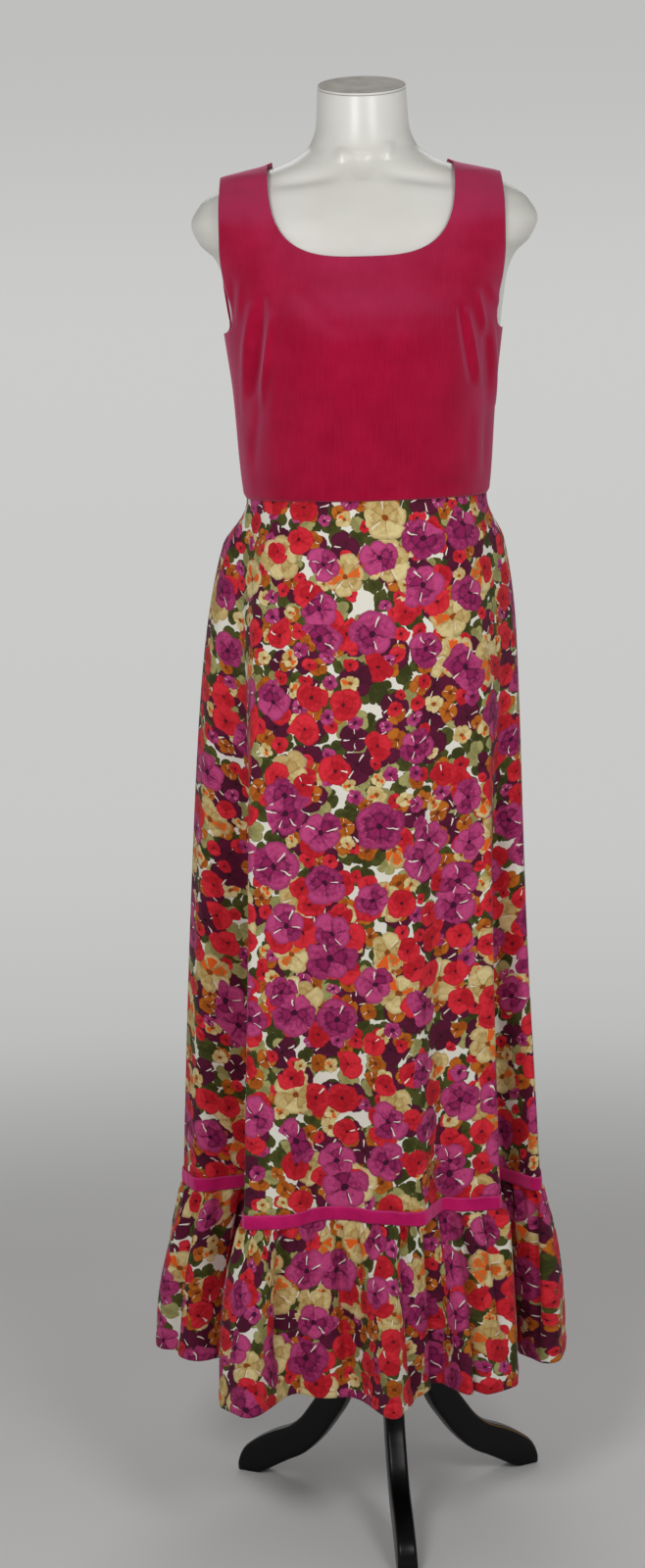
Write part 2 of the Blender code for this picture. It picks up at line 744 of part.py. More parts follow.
def build_ribbon(axis, finish):
    """Velvet ribbon over the flounce seam, made from the panels' points, moved out."""
    count = float(len(FOLDS))
    columns = skirt_columns(0.0, count)
    top = RIBBON_SEAM_Z + RIBBON_WIDTH / 2 - GAP
    low = RIBBON_SEAM_Z - RIBBON_WIDTH / 2 + GAP
    rows = skirt_rows(columns, [top, RIBBON_SEAM_Z, low], seam_gap, seam_gap)
    panel_object("ribbon", [rows], RIBBON_CLOTH, finish, axis, lift=RIBBON_CLOTH + RIBBON_LIFT)


def centre_back(z):
    """Point and normal at the centre back, on the bodice above the waist and on the skirt below it."""
    if z >= WAIST_Z:
        place = bodice_point(0.0, z, 1)
        return place, bodice_normal(place, 1)
    return skirt_surface(0.0, z), skirt_normal(0.0, z)


def build_zip(axis, finish, metal):
    """Chain between the back edges, slider at its top and the pull that hangs from it."""
    top = BACK_NECK_LOW_Z - ZIP_TOP_DROP
    heights = [top] + [z * MM for z in ZIP_ROWS]
    rows = []
    for z in heights:
        place, normal = centre_back(z)
        side = Vector((ZIP_CHAIN_HALF, 0.0, 0.0))
        rows.append([(place + side, normal), (place, normal), (place - side, normal)])
    panel_object("zip_chain", [rows], ZIP_CHAIN_THICK, finish, axis)
    place, normal = centre_back(top - SLIDER_DROP)
    seat = bpy.data.objects.new("zip_seat", None)
    bpy.context.collection.objects.link(seat)
    seat.parent = axis
    seat.location = place + normal * GAP
    seat.rotation_euler = (math.atan2(normal.z, normal.y), 0.0, 0.0)
    build_slider(seat, metal)
    build_pull(seat, metal)


def box(bm, size, middle):
    """Adds a box."""
    made = bmesh.ops.create_cube(bm, size=1.0)
    bmesh.ops.scale(bm, verts=made["verts"], vec=size)
    bmesh.ops.translate(bm, verts=made["verts"], vec=middle)
    return made["verts"]


def hinge_place():
    """The pull's axis in the slider's own frame: +Y is away from the cloth and +Z up along it."""
    _, thick, height = SLIDER_SIZE
    return Vector((0.0, thick + PULL_EYE_RADIUS + HINGE_OFF_PLATE, height / 2 - HINGE_BELOW_TOP))


def build_slider(seat, metal):
    """Slider plate with two ears and the pin between them, joined into one body."""
    hinge = hinge_place()
    thick = SLIDER_SIZE[1]
    plate = bmesh.new()
    box(plate, SLIDER_SIZE, (0.0, thick / 2, 0.0))
    bmesh.ops.bevel(
        plate,
        geom=[e for e in plate.edges if abs(e.verts[0].co.y - e.verts[1].co.y) > thick / 2],
        offset=SLIDER_CORNER,
        segments=3,
        affect="EDGES",
        profile=0.5,
        material=-1,
    )
    body = add_object("zip_slider", plate, metal, seat)
    ear_reach = hinge.y + PIN_RADIUS + EAR_PAST_PIN - thick / 2
    for sign in (-1, 1):
        ear = bmesh.new()
        middle = (sign * (EAR_HALF_SPACE + EAR_THICK / 2), thick / 2 + ear_reach / 2, hinge.z)
        box(ear, (EAR_THICK, ear_reach, EAR_HEIGHT), middle)
        join_shape(body, ear, f"ear_{sign}")
    join_shape(body, rod_along_x(PIN_RADIUS, 2 * EAR_HALF_SPACE + EAR_THICK, PIN_SIDES), "pin")


def rod_along_x(radius, length, sides):
    """Mesh of a rod along the pull's axis, in the slider's own frame."""
    bm = bmesh.new()
    bmesh.ops.create_cone(bm, segments=sides, radius1=radius, radius2=radius, depth=length, cap_ends=True)
    for vertex in bm.verts:
        x, y, z = vertex.co
        vertex.co = (z, y, -x)
    bmesh.ops.translate(bm, verts=bm.verts, vec=hinge_place())
    return bm


def cutter_object(name, bm, parent):
    """An object that only shapes another one."""
    bmesh.ops.recalc_face_normals(bm, faces=bm.faces)
    mesh = bpy.data.meshes.new(name)
    bm.to_mesh(mesh)
    bm.free()
    made = bpy.data.objects.new(name, mesh)
    bpy.context.collection.objects.link(made)
    made.parent = parent
    made.hide_render = True
    made.display_type = "WIRE"
    return made


def join_shape(body, bm, name, operation="UNION"):
    """Adds or cuts a shape with a Boolean that stays on the object."""
    tool = cutter_object(f"{body.name}_{name}", bm, body.parent)
    modifier = body.modifiers.new(name, "BOOLEAN")
    modifier.operation = operation
    modifier.object = tool


def build_pull(seat, metal):
    """Pull tab with its eye round the slider's pin. Its origin is on the pin's axis."""
    bm = bmesh.new()
    flat = PULL_THICK / 2
    neck = -PULL_EYE_RADIUS - PULL_NECK_DROP
    outline = []
    for step in range(PULL_EYE_STEPS + 1):
        angle = math.pi * (step / PULL_EYE_STEPS - 0.5)
        outline.append((math.sin(angle) * PULL_EYE_RADIUS, math.cos(angle) * PULL_EYE_RADIUS))
    outline += [(flat, neck), (flat, -PULL_LENGTH), (-flat, -PULL_LENGTH), (-flat, neck)]
    face = bm.faces.new([bm.verts.new((PULL_WIDTH / 2, y, z)) for y, z in outline])
    made = bmesh.ops.extrude_face_region(bm, geom=[face])
    moved = [part for part in made["geom"] if isinstance(part, bmesh.types.BMVert)]
    bmesh.ops.translate(bm, verts=moved, vec=(-PULL_WIDTH, 0.0, 0.0))
    pull = add_object("zip_pull", bm, metal, seat)
    pull.location = hinge_place()
    join_shape(pull, rod_along_x(PULL_HOLE_RADIUS, 2 * PULL_WIDTH, HOLE_SIDES), "hole", "DIFFERENCE")


def build_torso(axis, finish, cap_finish):
    """Torso of the form, lofted through its sections and closed by its base and its sloping neck."""
    rings = [[section_point(FORM_SECTIONS, turn, z * MM) for turn in ring_turns()] for z in TORSO_ROWS]
    rings.append([neck_rim(turn, 0.0) for turn in ring_turns()])
    add_object("form_torso", lofted(rings), finish, axis)
    build_neck_cap(axis, cap_finish)


def ring_turns():
    """Turns of the corners of the torso's rings, from the centre front."""
    return [2 * math.pi * k / TORSO_SIDES for k in range(TORSO_SIDES)]


def lofted(rings):
    """Mesh of a closed solid through rings of points, from the lowest to the highest."""
    bm = bmesh.new()
    rings = [[bm.verts.new(point) for point in ring] for ring in rings]
    for low, high in zip(rings, rings[1:]):
        for a, b, c, d in zip(low, low[1:] + low[:1], high[1:] + high[:1], high):
            bm.faces.new((a, b, c, d))
    bm.faces.new(rings[0])
    bm.faces.new(rings[-1])
    return bm


def neck_rim(turn, lift, inset=0.0):
    """Rim of the neck, which slopes down to the front."""
    half, front, back = section_at(FORM_SECTIONS, NECK_TOP_Z)
    depth = (front if math.cos(turn) > 0 else back) - inset
    y = -depth * math.cos(turn)
    slope = math.tan(NECK_TILT)
    x = (half - inset) * math.sin(turn)
    return Vector((x, y - lift * math.sin(NECK_TILT), NECK_TOP_Z + y * slope + lift))


def build_neck_cap(axis, finish):
    """Flat cap with a rounded rim that lies on the neck."""
    side = CAP_INSET
    loops = (
        (GAP, side + CAP_LOW_CHAMFER),
        (GAP + CAP_LOW_CHAMFER, side),
        (NECK_CAP_THICK - CAP_TOP_CHAMFER, side),
        (NECK_CAP_THICK, side + CAP_TOP_CHAMFER),
    )
    rings = [[neck_rim(turn, lift, inset) for turn in ring_turns()] for lift, inset in loops]
    add_object("neck_cap", lofted(rings), finish, axis)


def turned(name, profile, finish, axis):
    """A solid turned round the pole's axis from (radius, height) points, top to bottom."""
    bm = bmesh.new()
    line = [bm.verts.new((radius, 0.0, z)) for radius, z in profile]
    edges = [bm.edges.new(pair) for pair in zip(line, line[1:])]
    bmesh.ops.spin(
        bm,
        geom=line + edges,
        cent=(0, 0, 0),
        axis=(0, 0, 1),
        angle=2 * math.pi,
        steps=TURNED_SIDES,
        use_merge=True,
    )
    bmesh.ops.remove_doubles(bm, verts=bm.verts, dist=SAME_PLACE)
    for z in (profile[0][1], profile[-1][1]):
        rim = [edge for edge in bm.edges if edge.is_boundary and abs(edge.verts[0].co.z - z) < SAME_PLACE]
        bmesh.ops.contextual_create(bm, geom=rim)
    add_object(name, bm, finish, axis)


def build_stand(axis, steel, paint):
    """Plate under the torso, pole, turned hub and three legs."""
    top = FORM_BASE_Z - GAP
    low = top - BASE_THICK
    plate = [(BASE_RADIUS - BASE_CHAMFER, top), (BASE_RADIUS, top - BASE_CHAMFER), (BASE_RADIUS, low)]
    turned("form_base", plate, paint, axis)
    pole_top = low - GAP
    turned("pole", [(POLE_RADIUS, pole_top), (POLE_RADIUS, HUB_TOP_Z + GAP)], steel, axis)
    neck = HUB_RADIUS - HUB_CHAMFER
    hub = [(neck, HUB_TOP_Z), (HUB_RADIUS, HUB_TOP_Z - HUB_CHAMFER)]
    hub += [(HUB_RADIUS, HUB_LOW_Z + HUB_CHAMFER), (neck, HUB_LOW_Z)]
    turned("hub", hub, paint, axis)
    for name, turn in LEG_TURNS:
        build_leg(name, math.radians(turn), paint, axis)


def leg_outline():
    """Outline of a leg in its upright plane: upper edge outwards, round the toe and back along the sole."""
    stations = [Vector((row.reach, row.z)) * MM for row in LEG_STATIONS]
    upper, lower = [], []
    for k, place in enumerate(stations):
        ahead = stations[min(k + 1, len(stations) - 1)] - stations[max(k - 1, 0)]
        across = Vector((-ahead.y, ahead.x)).normalized() * (LEG_STATIONS[k].half * MM)
        upper.append(place + across)
        lower.append(place - across)
    inner = HUB_RADIUS + GAP
    root_z = HUB_TOP_Z - LEG_ROOT_DROP
    upper[0] = Vector((inner + 2 * LEG_STATIONS[0].half * MM - LEG_ROOT_TRIM, root_z))
    lower[0] = Vector((inner, root_z))
    lower[1].x = inner
    lower[2].x = max(inner, lower[2].x)
    toe = [Vector(place) * MM for place in LEG_TOE]
    return upper[:-1] + toe + list(reversed(lower[:-1]))


def build_leg(name, turn, finish, axis):
    """A flat curved leg: its outline, given the plank's thickness, with eased edges."""
    bm = bmesh.new()
    face = bm.faces.new([bm.verts.new((p.x, -LEG_THICK / 2, p.y)) for p in leg_outline()])
    made = bmesh.ops.extrude_face_region(bm, geom=[face])
    moved = [part for part in made["geom"] if isinstance(part, bmesh.types.BMVert)]
    bmesh.ops.translate(bm, verts=moved, vec=(0.0, LEG_THICK, 0.0))
    leg = add_object(name, bm, finish, axis)
    leg.rotation_euler = (0.0, 0.0, turn - math.pi / 2)


def main():
    """Builds the whole object on an empty at the pole's foot."""
    for item in list(bpy.data.objects):
        bpy.data.objects.remove(item, do_unlink=True)
    axis = bpy.data.objects.new("pole_axis", None)
    axis.location = (AXIS_X, AXIS_Y, 0.0)
    bpy.context.collection.objects.link(axis)
    velveteen = material("velveteen", (0.30, 0.010, 0.045), 0.85)
    printed = material("printed_cotton", (0.40, 0.12, 0.10), 0.8)
    ribbon = material("velvet_ribbon", (0.35, 0.01, 0.10), 0.8)
    zip_tape = material("zip_tape", (0.20, 0.01, 0.03), 0.7)
    metal = material("zip_metal", (0.55, 0.53, 0.50), 0.35, 1.0)
    white = material("form_gloss", (0.70, 0.71, 0.68), 0.25)
    cap = material("cap_grey", (0.28, 0.26, 0.22), 0.6)
    black = material("black_paint", (0.012, 0.012, 0.014), 0.2)
    steel = material("pole_steel", (0.5, 0.5, 0.5), 0.3, 1.0)
    build_torso(axis, white, cap)
    build_stand(axis, steel, black)
    build_bodice(axis, velveteen)
    build_skirt(axis, printed)
    build_flounce(axis, printed)
    build_ribbon(axis, ribbon)
    build_zip(axis, zip_tape, metal)


main()
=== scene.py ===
"""Printed maxi dress with a velveteen bodice, worn by a glossy limbless dress form on a black tripod.

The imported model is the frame: every piece is in metres, with +Z up and the front towards -Y. Each sheet of
cloth is a grid mapped on the same sections and folds as its solid, given finer gathers and creases, and then
a wall. The tables are in millimetres from the pole's axis.
"""

import logging
import math
import random
from dataclasses import dataclass, field
from enum import Enum
from typing import Callable, Optional, Sequence, Union

import bmesh
import bpy
import numpy as np
from mathutils import Matrix, Vector


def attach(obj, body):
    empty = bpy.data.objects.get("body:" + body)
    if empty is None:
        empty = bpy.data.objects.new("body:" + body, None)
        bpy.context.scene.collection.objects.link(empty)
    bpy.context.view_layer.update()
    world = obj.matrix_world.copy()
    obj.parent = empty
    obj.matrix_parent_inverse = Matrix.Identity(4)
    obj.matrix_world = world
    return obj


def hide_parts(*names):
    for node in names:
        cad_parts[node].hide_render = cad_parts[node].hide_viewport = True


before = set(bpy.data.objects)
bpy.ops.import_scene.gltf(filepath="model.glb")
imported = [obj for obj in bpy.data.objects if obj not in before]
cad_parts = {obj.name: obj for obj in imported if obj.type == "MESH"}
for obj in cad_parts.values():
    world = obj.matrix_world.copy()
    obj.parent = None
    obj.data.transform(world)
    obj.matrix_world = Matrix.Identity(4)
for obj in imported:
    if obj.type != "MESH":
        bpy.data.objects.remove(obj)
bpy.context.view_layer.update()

log = logging.getLogger("dress")

MM = 0.001
AXIS = np.array((0.031, 0.0045, 0.0))
SMALLEST = 1e-9
WELD = 0.00002

# Heights and sizes of the cloth, in millimetres
WAIST_Z = 1143.0
UNDERARM_Z = 1316.0
RIBBON_Z = 385.0
RIBBON_HALF = 8.0
DRESS_SHIFT = -3.5
BODICE_FOOT_Z = 1143.15
SKIRT_TOP_Z = 1142.85
ZIP_END_Z = 985.0
ZIP_HALF = 2.6
SEAM_HALF = 0.15

# Height, half width, reach to the front and reach to the back
FORM_SECTIONS = (
    (860, 136, 98, 108),
    (900, 142, 104, 113),
    (970, 145, 106, 114),
    (1040, 135, 100, 103),
    (1100, 123, 92, 87),
    (1143, 121, 92, 84),
    (1200, 127, 101, 88),
    (1260, 134, 113, 93),
    (1300, 139, 116, 97),
    (1340, 144, 108, 99),
    (1372, 149, 97, 99),
    (1393, 158, 90, 97),
    (1409, 174, 85, 93),
    (1429, 182, 79, 88),
    (1449, 172, 71, 82),
    (1464, 151, 65, 75),
    (1475, 126, 60, 68),
    (1483.2, 101, 56, 62),
    (1492.2, 77, 53, 58),
    (1506, 57, 50, 54),
    (1528, 48.6, 47.6, 49.6),
    (1556, 46.2, 45.4, 47.2),
)

BODICE_SECTIONS = (
    (1143, 128, 100, 91),
    (1150, 131, 102, 92),
    (1180, 134, 107, 94),
    (1220, 137, 114, 97),
    (1260, 140, 121, 100),
    (1300, 145, 123, 103),
    (1327, 149, 119, 105),
    (1360, 157, 108, 106),
    (1393, 170, 98, 104),
    (1410, 182, 92, 102.5),
    (1429, 190, 86, 97),
    (1450, 182, 78, 90),
    (1466, 163, 71, 82),
    (1476.5, 146.5, 66, 75),
    (1482, 125, 62, 70),
    (1488, 100, 58.5, 65.5),
    (1496, 81, 56, 62),
)

# Height, and distance of the armhole's edge from the middle line in front and behind
ARM_EDGES = (
    (1316, 137, 140),
    (1345, 139, 145),
    (1372, 145, 148),
    (1400, 148, 148),
    (1440, 148, 147),
    (1476, 146, 146),
)

# Degrees round the waist, then x and y at the hip, the knee and the ribbon, and the fold's softness
FOLDS = (
    (-180, 0, 124, 0, 150, 0, 165, 0.8),
    (-155, -58, 118, -60, 116, -60, 116, 0.7),
    (-130, -112, 98, -126, 130, -136, 152, 0.7),
    (-108, -150, 62, -148, 72, -150, 78, 0.6),
    (-89, -184, 20, -211, 30, -230, 30, 0.6),
    (-77, -172, -26, -193, -30, -206, -28, 0.6),
    (-68, -139, -47, -134, -16, -137, 4, 0.35),
    (-59, -127, -92, -141, -130, -154, -152, 0.22),
    (-40, -80, -118, -92, -140, -106, -153, 0.8),
    (-20, -38, -119, -50, -128, -63, -120, 0.8),
    (0, 0, -123, -5, -140, 3, -148, 0.8),
    (18, 36, -120, 36, -144, 38, -156, 0.6),
    (36, 68, -112, 62, -114, 58, -103, 0.5),
    (48, 96, -102, 93, -110, 90, -110, 0.8),
    (59, 117, -86, 119, -102, 123, -106, 0.22),
    (68, 136, -50, 122, -26, 126, 0, 0.35),
    (78, 153, -26, 160, -42, 172, -52, 0.6),
    (92, 157, 24, 161, 20, 172, 12, 0.7),
    (110, 140, 68, 128, 66, 128, 64, 0.6),
    (132, 108, 102, 122, 132, 130, 154, 0.7),
    (156, 56, 118, 58, 118, 60, 122, 0.7),
)
FOLD_COUNT = len(FOLDS)
LEFT_SEAM = 4
FRONT_MIDDLE = 10
RIGHT_SEAM = 17
FOLD_LEVELS = (985.0, 690.0, RIBBON_Z)
FLARE_POWER = 0.6
SEAM_BLEND = 50.0

# Place among the skirt's folds, x, y, the hem's height there, and softness
HEM_FOLDS = (
    (0.0, 0, 196, 188, 0.8),
    (0.6, -36, 144, 184, 0.7),
    (1.1, -72, 180, 187, 0.7),
    (1.7, -106, 138, 183, 0.7),
    (2.3, -152, 182, 189, 0.7),
    (3.0, -170, 108, 184, 0.6),
    (3.5, -222, 104, 188, 0.7),
    (4.0, -236, 46, 186, 0.7),
    (4.5, -262, 4, 190, 0.7),
    (5.2, -214, -54, 190, 0.6),
    (6.0, -158, -6, 184, 0.4),
    (6.9, -184, -160, 184, 0.4),
    (7.3, -150, -200, 182, 0.6),
    (8.0, -108, -132, 186, 0.7),
    (8.7, -72, -156, 186, 0.8),
    (9.3, -36, -140, 183, 0.7),
    (10.0, 3, -208, 180, 0.5),
    (10.7, 34, -142, 184, 0.6),
    (11.3, 56, -118, 188, 0.5),
    (12.2, 84, -160, 188, 0.7),
    (13.2, 112, -146, 184, 0.7),
    (14.0, 138, -128, 186, 0.4),
    (15.0, 142, -16, 182, 0.4),
    (16.0, 180, -66, 184, 0.6),
    (16.6, 198, -6, 184, 0.7),
    (17.3, 174, 44, 184, 0.7),
    (18.0, 144, 78, 182, 0.6),
    (18.6, 160, 132, 187, 0.7),
    (19.2, 112, 160, 188, 0.7),
    (19.8, 84, 132, 184, 0.7),
    (20.4, 44, 176, 187, 0.7),
)
FLOUNCE_FLARE = 1.8

# Upper and lower edge of a leg in its own upright plane: reach and height of each
LEG_EDGES = (
    (72, 250, 26.3, 250),
    (63, 200, 26.3, 200),
    (72.2, 153.9, 40, 146),
    (84.6, 119.8, 53.4, 106.2),
    (99.1, 97.4, 70.9, 78.6),
    (113.2, 78.9, 88.8, 55.1),
    (130.2, 64.9, 109.8, 35.1),
    (154.2, 53.4, 131.8, 22.6),
    (176.5, 39.8, 155.5, 8.2),
    (189, 29, 165, 2.2),
    (195.5, 17, 173, 0.2),
    (197.6, 8, 186, 0.1),
    (196.6, 2.4, 194, 0.3),
)


class Side(Enum):
    """Front or back of the dress, as the sign of Y."""

    FRONT = -1
    BACK = 1


class Curve:
    """Smooth monotone curves through the columns of a table, held level past both ends."""

    def __init__(self, keys: Sequence[float], values: Sequence) -> None:
        """Works out the tangents.

        Args:
            keys: Rising places of the rows.
            values: One row of numbers for each key.
        """
        self.keys = np.asarray(keys, float)
        self.values = np.asarray(values, float).reshape(len(self.keys), -1)
        slopes = np.diff(self.values, axis=0) / np.diff(self.keys)[:, None]
        before, after = slopes[:-1], slopes[1:]
        total = np.where(np.abs(before + after) < SMALLEST, 1.0, before + after)
        inner = np.where(before * after > 0, 2 * before * after / total, 0.0)
        self.tangents = np.vstack([slopes[:1], inner, slopes[-1:]])

    def __call__(self, at: np.ndarray) -> np.ndarray:
        """Values at some places.

        Args:
            at: Places of any shape.

        Returns:
            An array of that shape with one more axis, for the table's columns.
        """
        at = np.clip(np.asarray(at, float), self.keys[0], self.keys[-1])
        i = np.clip(np.searchsorted(self.keys, at, side="right") - 1, 0, len(self.keys) - 2)
        step = self.keys[i + 1] - self.keys[i]
        t = ((at - self.keys[i]) / step)[..., None]
        step = step[..., None]
        rise = self.values[i + 1] - self.values[i]
        start, end = self.tangents[i] * step, self.tangents[i + 1] * step
        square = t**2 * (3 * rise - 2 * start - end)
        cube = t**3 * (start + end - 2 * rise)
        return self.values[i] + t * start + square + cube


def ease(t: np.ndarray) -> np.ndarray:
    """Eases from 0 to 1."""
    t = np.clip(t, 0.0, 1.0)
    return t * t * (3 - 2 * t)


def rounded_ring(corners: np.ndarray, softness: np.ndarray, u: np.ndarray) -> np.ndarray:
    """Points of closed rings of rounded corners.

    Args:
        corners: Corners of one ring, or of a ring for each point on a first axis.
        softness: How far each corner is rounded, from 0 to 1.
        u: Places round the ring, where whole numbers are corners.

    Returns:
        One point for each place.
    """
    count = len(softness)
    k = np.floor(u + 0.5).astype(int)
    d = (u - k)[:, None]

    def pick(step: int) -> np.ndarray:
        """Corner that many places on.

        Args:
            step: Number of places.

        Returns:
            The corner for each place.
        """
        if corners.ndim == 2:
            return corners[(k + step) % count]
        return corners[np.arange(len(u)), (k + step) % count]

    before, corner, after = pick(-1), pick(0), pick(1)
    soft = softness[k % count][:, None]
    half_before, half_after = (before + corner) / 2, (corner + after) / 2
    start = corner + (half_before - corner) * soft
    end = corner + (half_after - corner) * soft
    t = np.clip(d / soft + 0.5, 0, 1)
    bend = start * (1 - t) ** 2 + corner * (2 * t * (1 - t)) + end * t**2
    share = np.clip((np.abs(d) - soft / 2) / (0.5 - soft / 2), 0, 1)
    side = np.where(d < 0, start + (half_before - start) * share, end + (half_after - end) * share)
    return np.where(np.abs(d) >= soft / 2, side, bend)


class SkirtShape:
    """Outer surface of the skirt and its flounce, in millimetres from the pole's axis."""

    WAIST_EASE = 1.01
    LINE_STEPS = 2001
    RING_STEPS = 4001

    def __init__(self) -> None:
        """Prepares the curves down each fold."""
        table = np.array(FOLDS, float)
        self.turns = np.append(table[:, 0], 180.0)
        self.softness = table[:, 7]
        half, front, back = BODICE_SECTIONS[0][1:]
        self.waist = (half, front, back)
        rings = [self.waist_ring(np.radians(table[:, 0])) * self.WAIST_EASE]
        rings += [table[:, 1 + 2 * level : 3 + 2 * level] for level in range(3)]
        keys = [0.0] + [float(self.fall(np.array(z))) for z in FOLD_LEVELS]
        self.down = Curve(keys, [ring.reshape(-1) for ring in rings])
        hem = np.array(HEM_FOLDS, float)
        self.hem_places = np.append(hem[:, 0], FOLD_COUNT)
        self.hem_corners = hem[:, 1:4]
        self.hem_softness = hem[:, 4]

    def waist_ring(self, turn: np.ndarray) -> np.ndarray:
        """Points of the waist seam.

        Args:
            turn: Turns from the centre front, in radians.

        Returns:
            X and Y of each point.
        """
        half, front, back = self.waist
        depth = np.where(np.cos(turn) > 0, front, back)
        return np.stack([DRESS_SHIFT + half * np.sin(turn), -depth * np.cos(turn)], axis=-1)

    def fall(self, z: np.ndarray) -> np.ndarray:
        """Share of the flare reached at a height."""
        return np.maximum(0.0, (WAIST_Z - z) / (WAIST_Z - RIBBON_Z)) ** FLARE_POWER

    def skirt(self, u: np.ndarray, z: np.ndarray) -> np.ndarray:
        """Points of the skirt.

        Args:
            u: Places round it, where whole numbers are folds.
            z: Heights.

        Returns:
            One point for each place and height.
        """
        shape = np.shape(u)
        u, z = np.ravel(u) % FOLD_COUNT, np.ravel(z)
        corners = self.down(self.fall(z)).reshape(len(z), FOLD_COUNT, 2)
        hung = rounded_ring(corners, self.softness, u)
        turn = np.radians(np.interp(u, np.arange(FOLD_COUNT + 1), self.turns))
        sewn = self.waist_ring(turn)
        share = ease((WAIST_Z - z) / SEAM_BLEND)[:, None]
        flat = sewn + (hung - sewn) * share
        return np.column_stack([flat, z]).reshape(*shape, 3)

    def hem(self, u: np.ndarray) -> np.ndarray:
        """Points of the hem at places u."""
        v = np.interp(u % FOLD_COUNT, self.hem_places, np.arange(len(self.hem_places)))
        return rounded_ring(self.hem_corners, self.hem_softness, v)

    def flounce(self, u: np.ndarray, t: np.ndarray) -> np.ndarray:
        """Points of the flounce.

        Args:
            u: Places round it, where whole numbers are the skirt's folds.
            t: 0 at the seam and 1 at the hem. Below 0 it is metres above the seam.

        Returns:
            One point for each pair.
        """
        shape = np.shape(u)
        u, t = np.ravel(u), np.ravel(t)[:, None]
        low_edge = RIBBON_Z - RIBBON_HALF
        above = np.maximum(0.0, -t[:, 0]) / MM
        top = self.skirt(u, low_edge + above)
        hem = self.hem(u)
        t = np.maximum(t, 0.0)
        spread = 1 - (1 - t) ** FLOUNCE_FLARE
        flat = top[:, :2] + (hem[:, :2] - top[:, :2]) * spread
        z = top[:, 2:] + (hem[:, 2:] - top[:, 2:]) * t
        return np.hstack([flat, z]).reshape(*shape, 3)

    def even_places(self, start: float, end: float, count: int, drop: float) -> np.ndarray:
        """Places between two seams, evenly spaced along the cloth.

        Args:
            start: First seam.
            end: Last seam.
            count: Number of spaces.
            drop: 0 spaces them along the ribbon's line and 1 along the hem.

        Returns:
            count + 1 places.
        """
        fine = np.linspace(start, end, self.LINE_STEPS)
        line = self.flounce(fine, np.full(fine.shape, drop))
        steps = np.linalg.norm(np.diff(line, axis=0), axis=1)
        run = np.append(0.0, np.cumsum(steps))
        return np.interp(np.linspace(0, run[-1], count + 1), run, fine)

    def around(self, u: np.ndarray) -> np.ndarray:
        """Distance along the ribbon's line from the centre back.

        Args:
            u: Places round the skirt.

        Returns:
            Millimetres, which go on rising past a whole turn.
        """
        fine = np.linspace(0, FOLD_COUNT, self.RING_STEPS)
        line = self.skirt(fine, np.full(fine.shape, RIBBON_Z))
        run = np.append(0.0, np.cumsum(np.linalg.norm(np.diff(line, axis=0), axis=1)))
        turns = np.floor(u / FOLD_COUNT)
        return np.interp(u - turns * FOLD_COUNT, fine, run) + turns * run[-1]


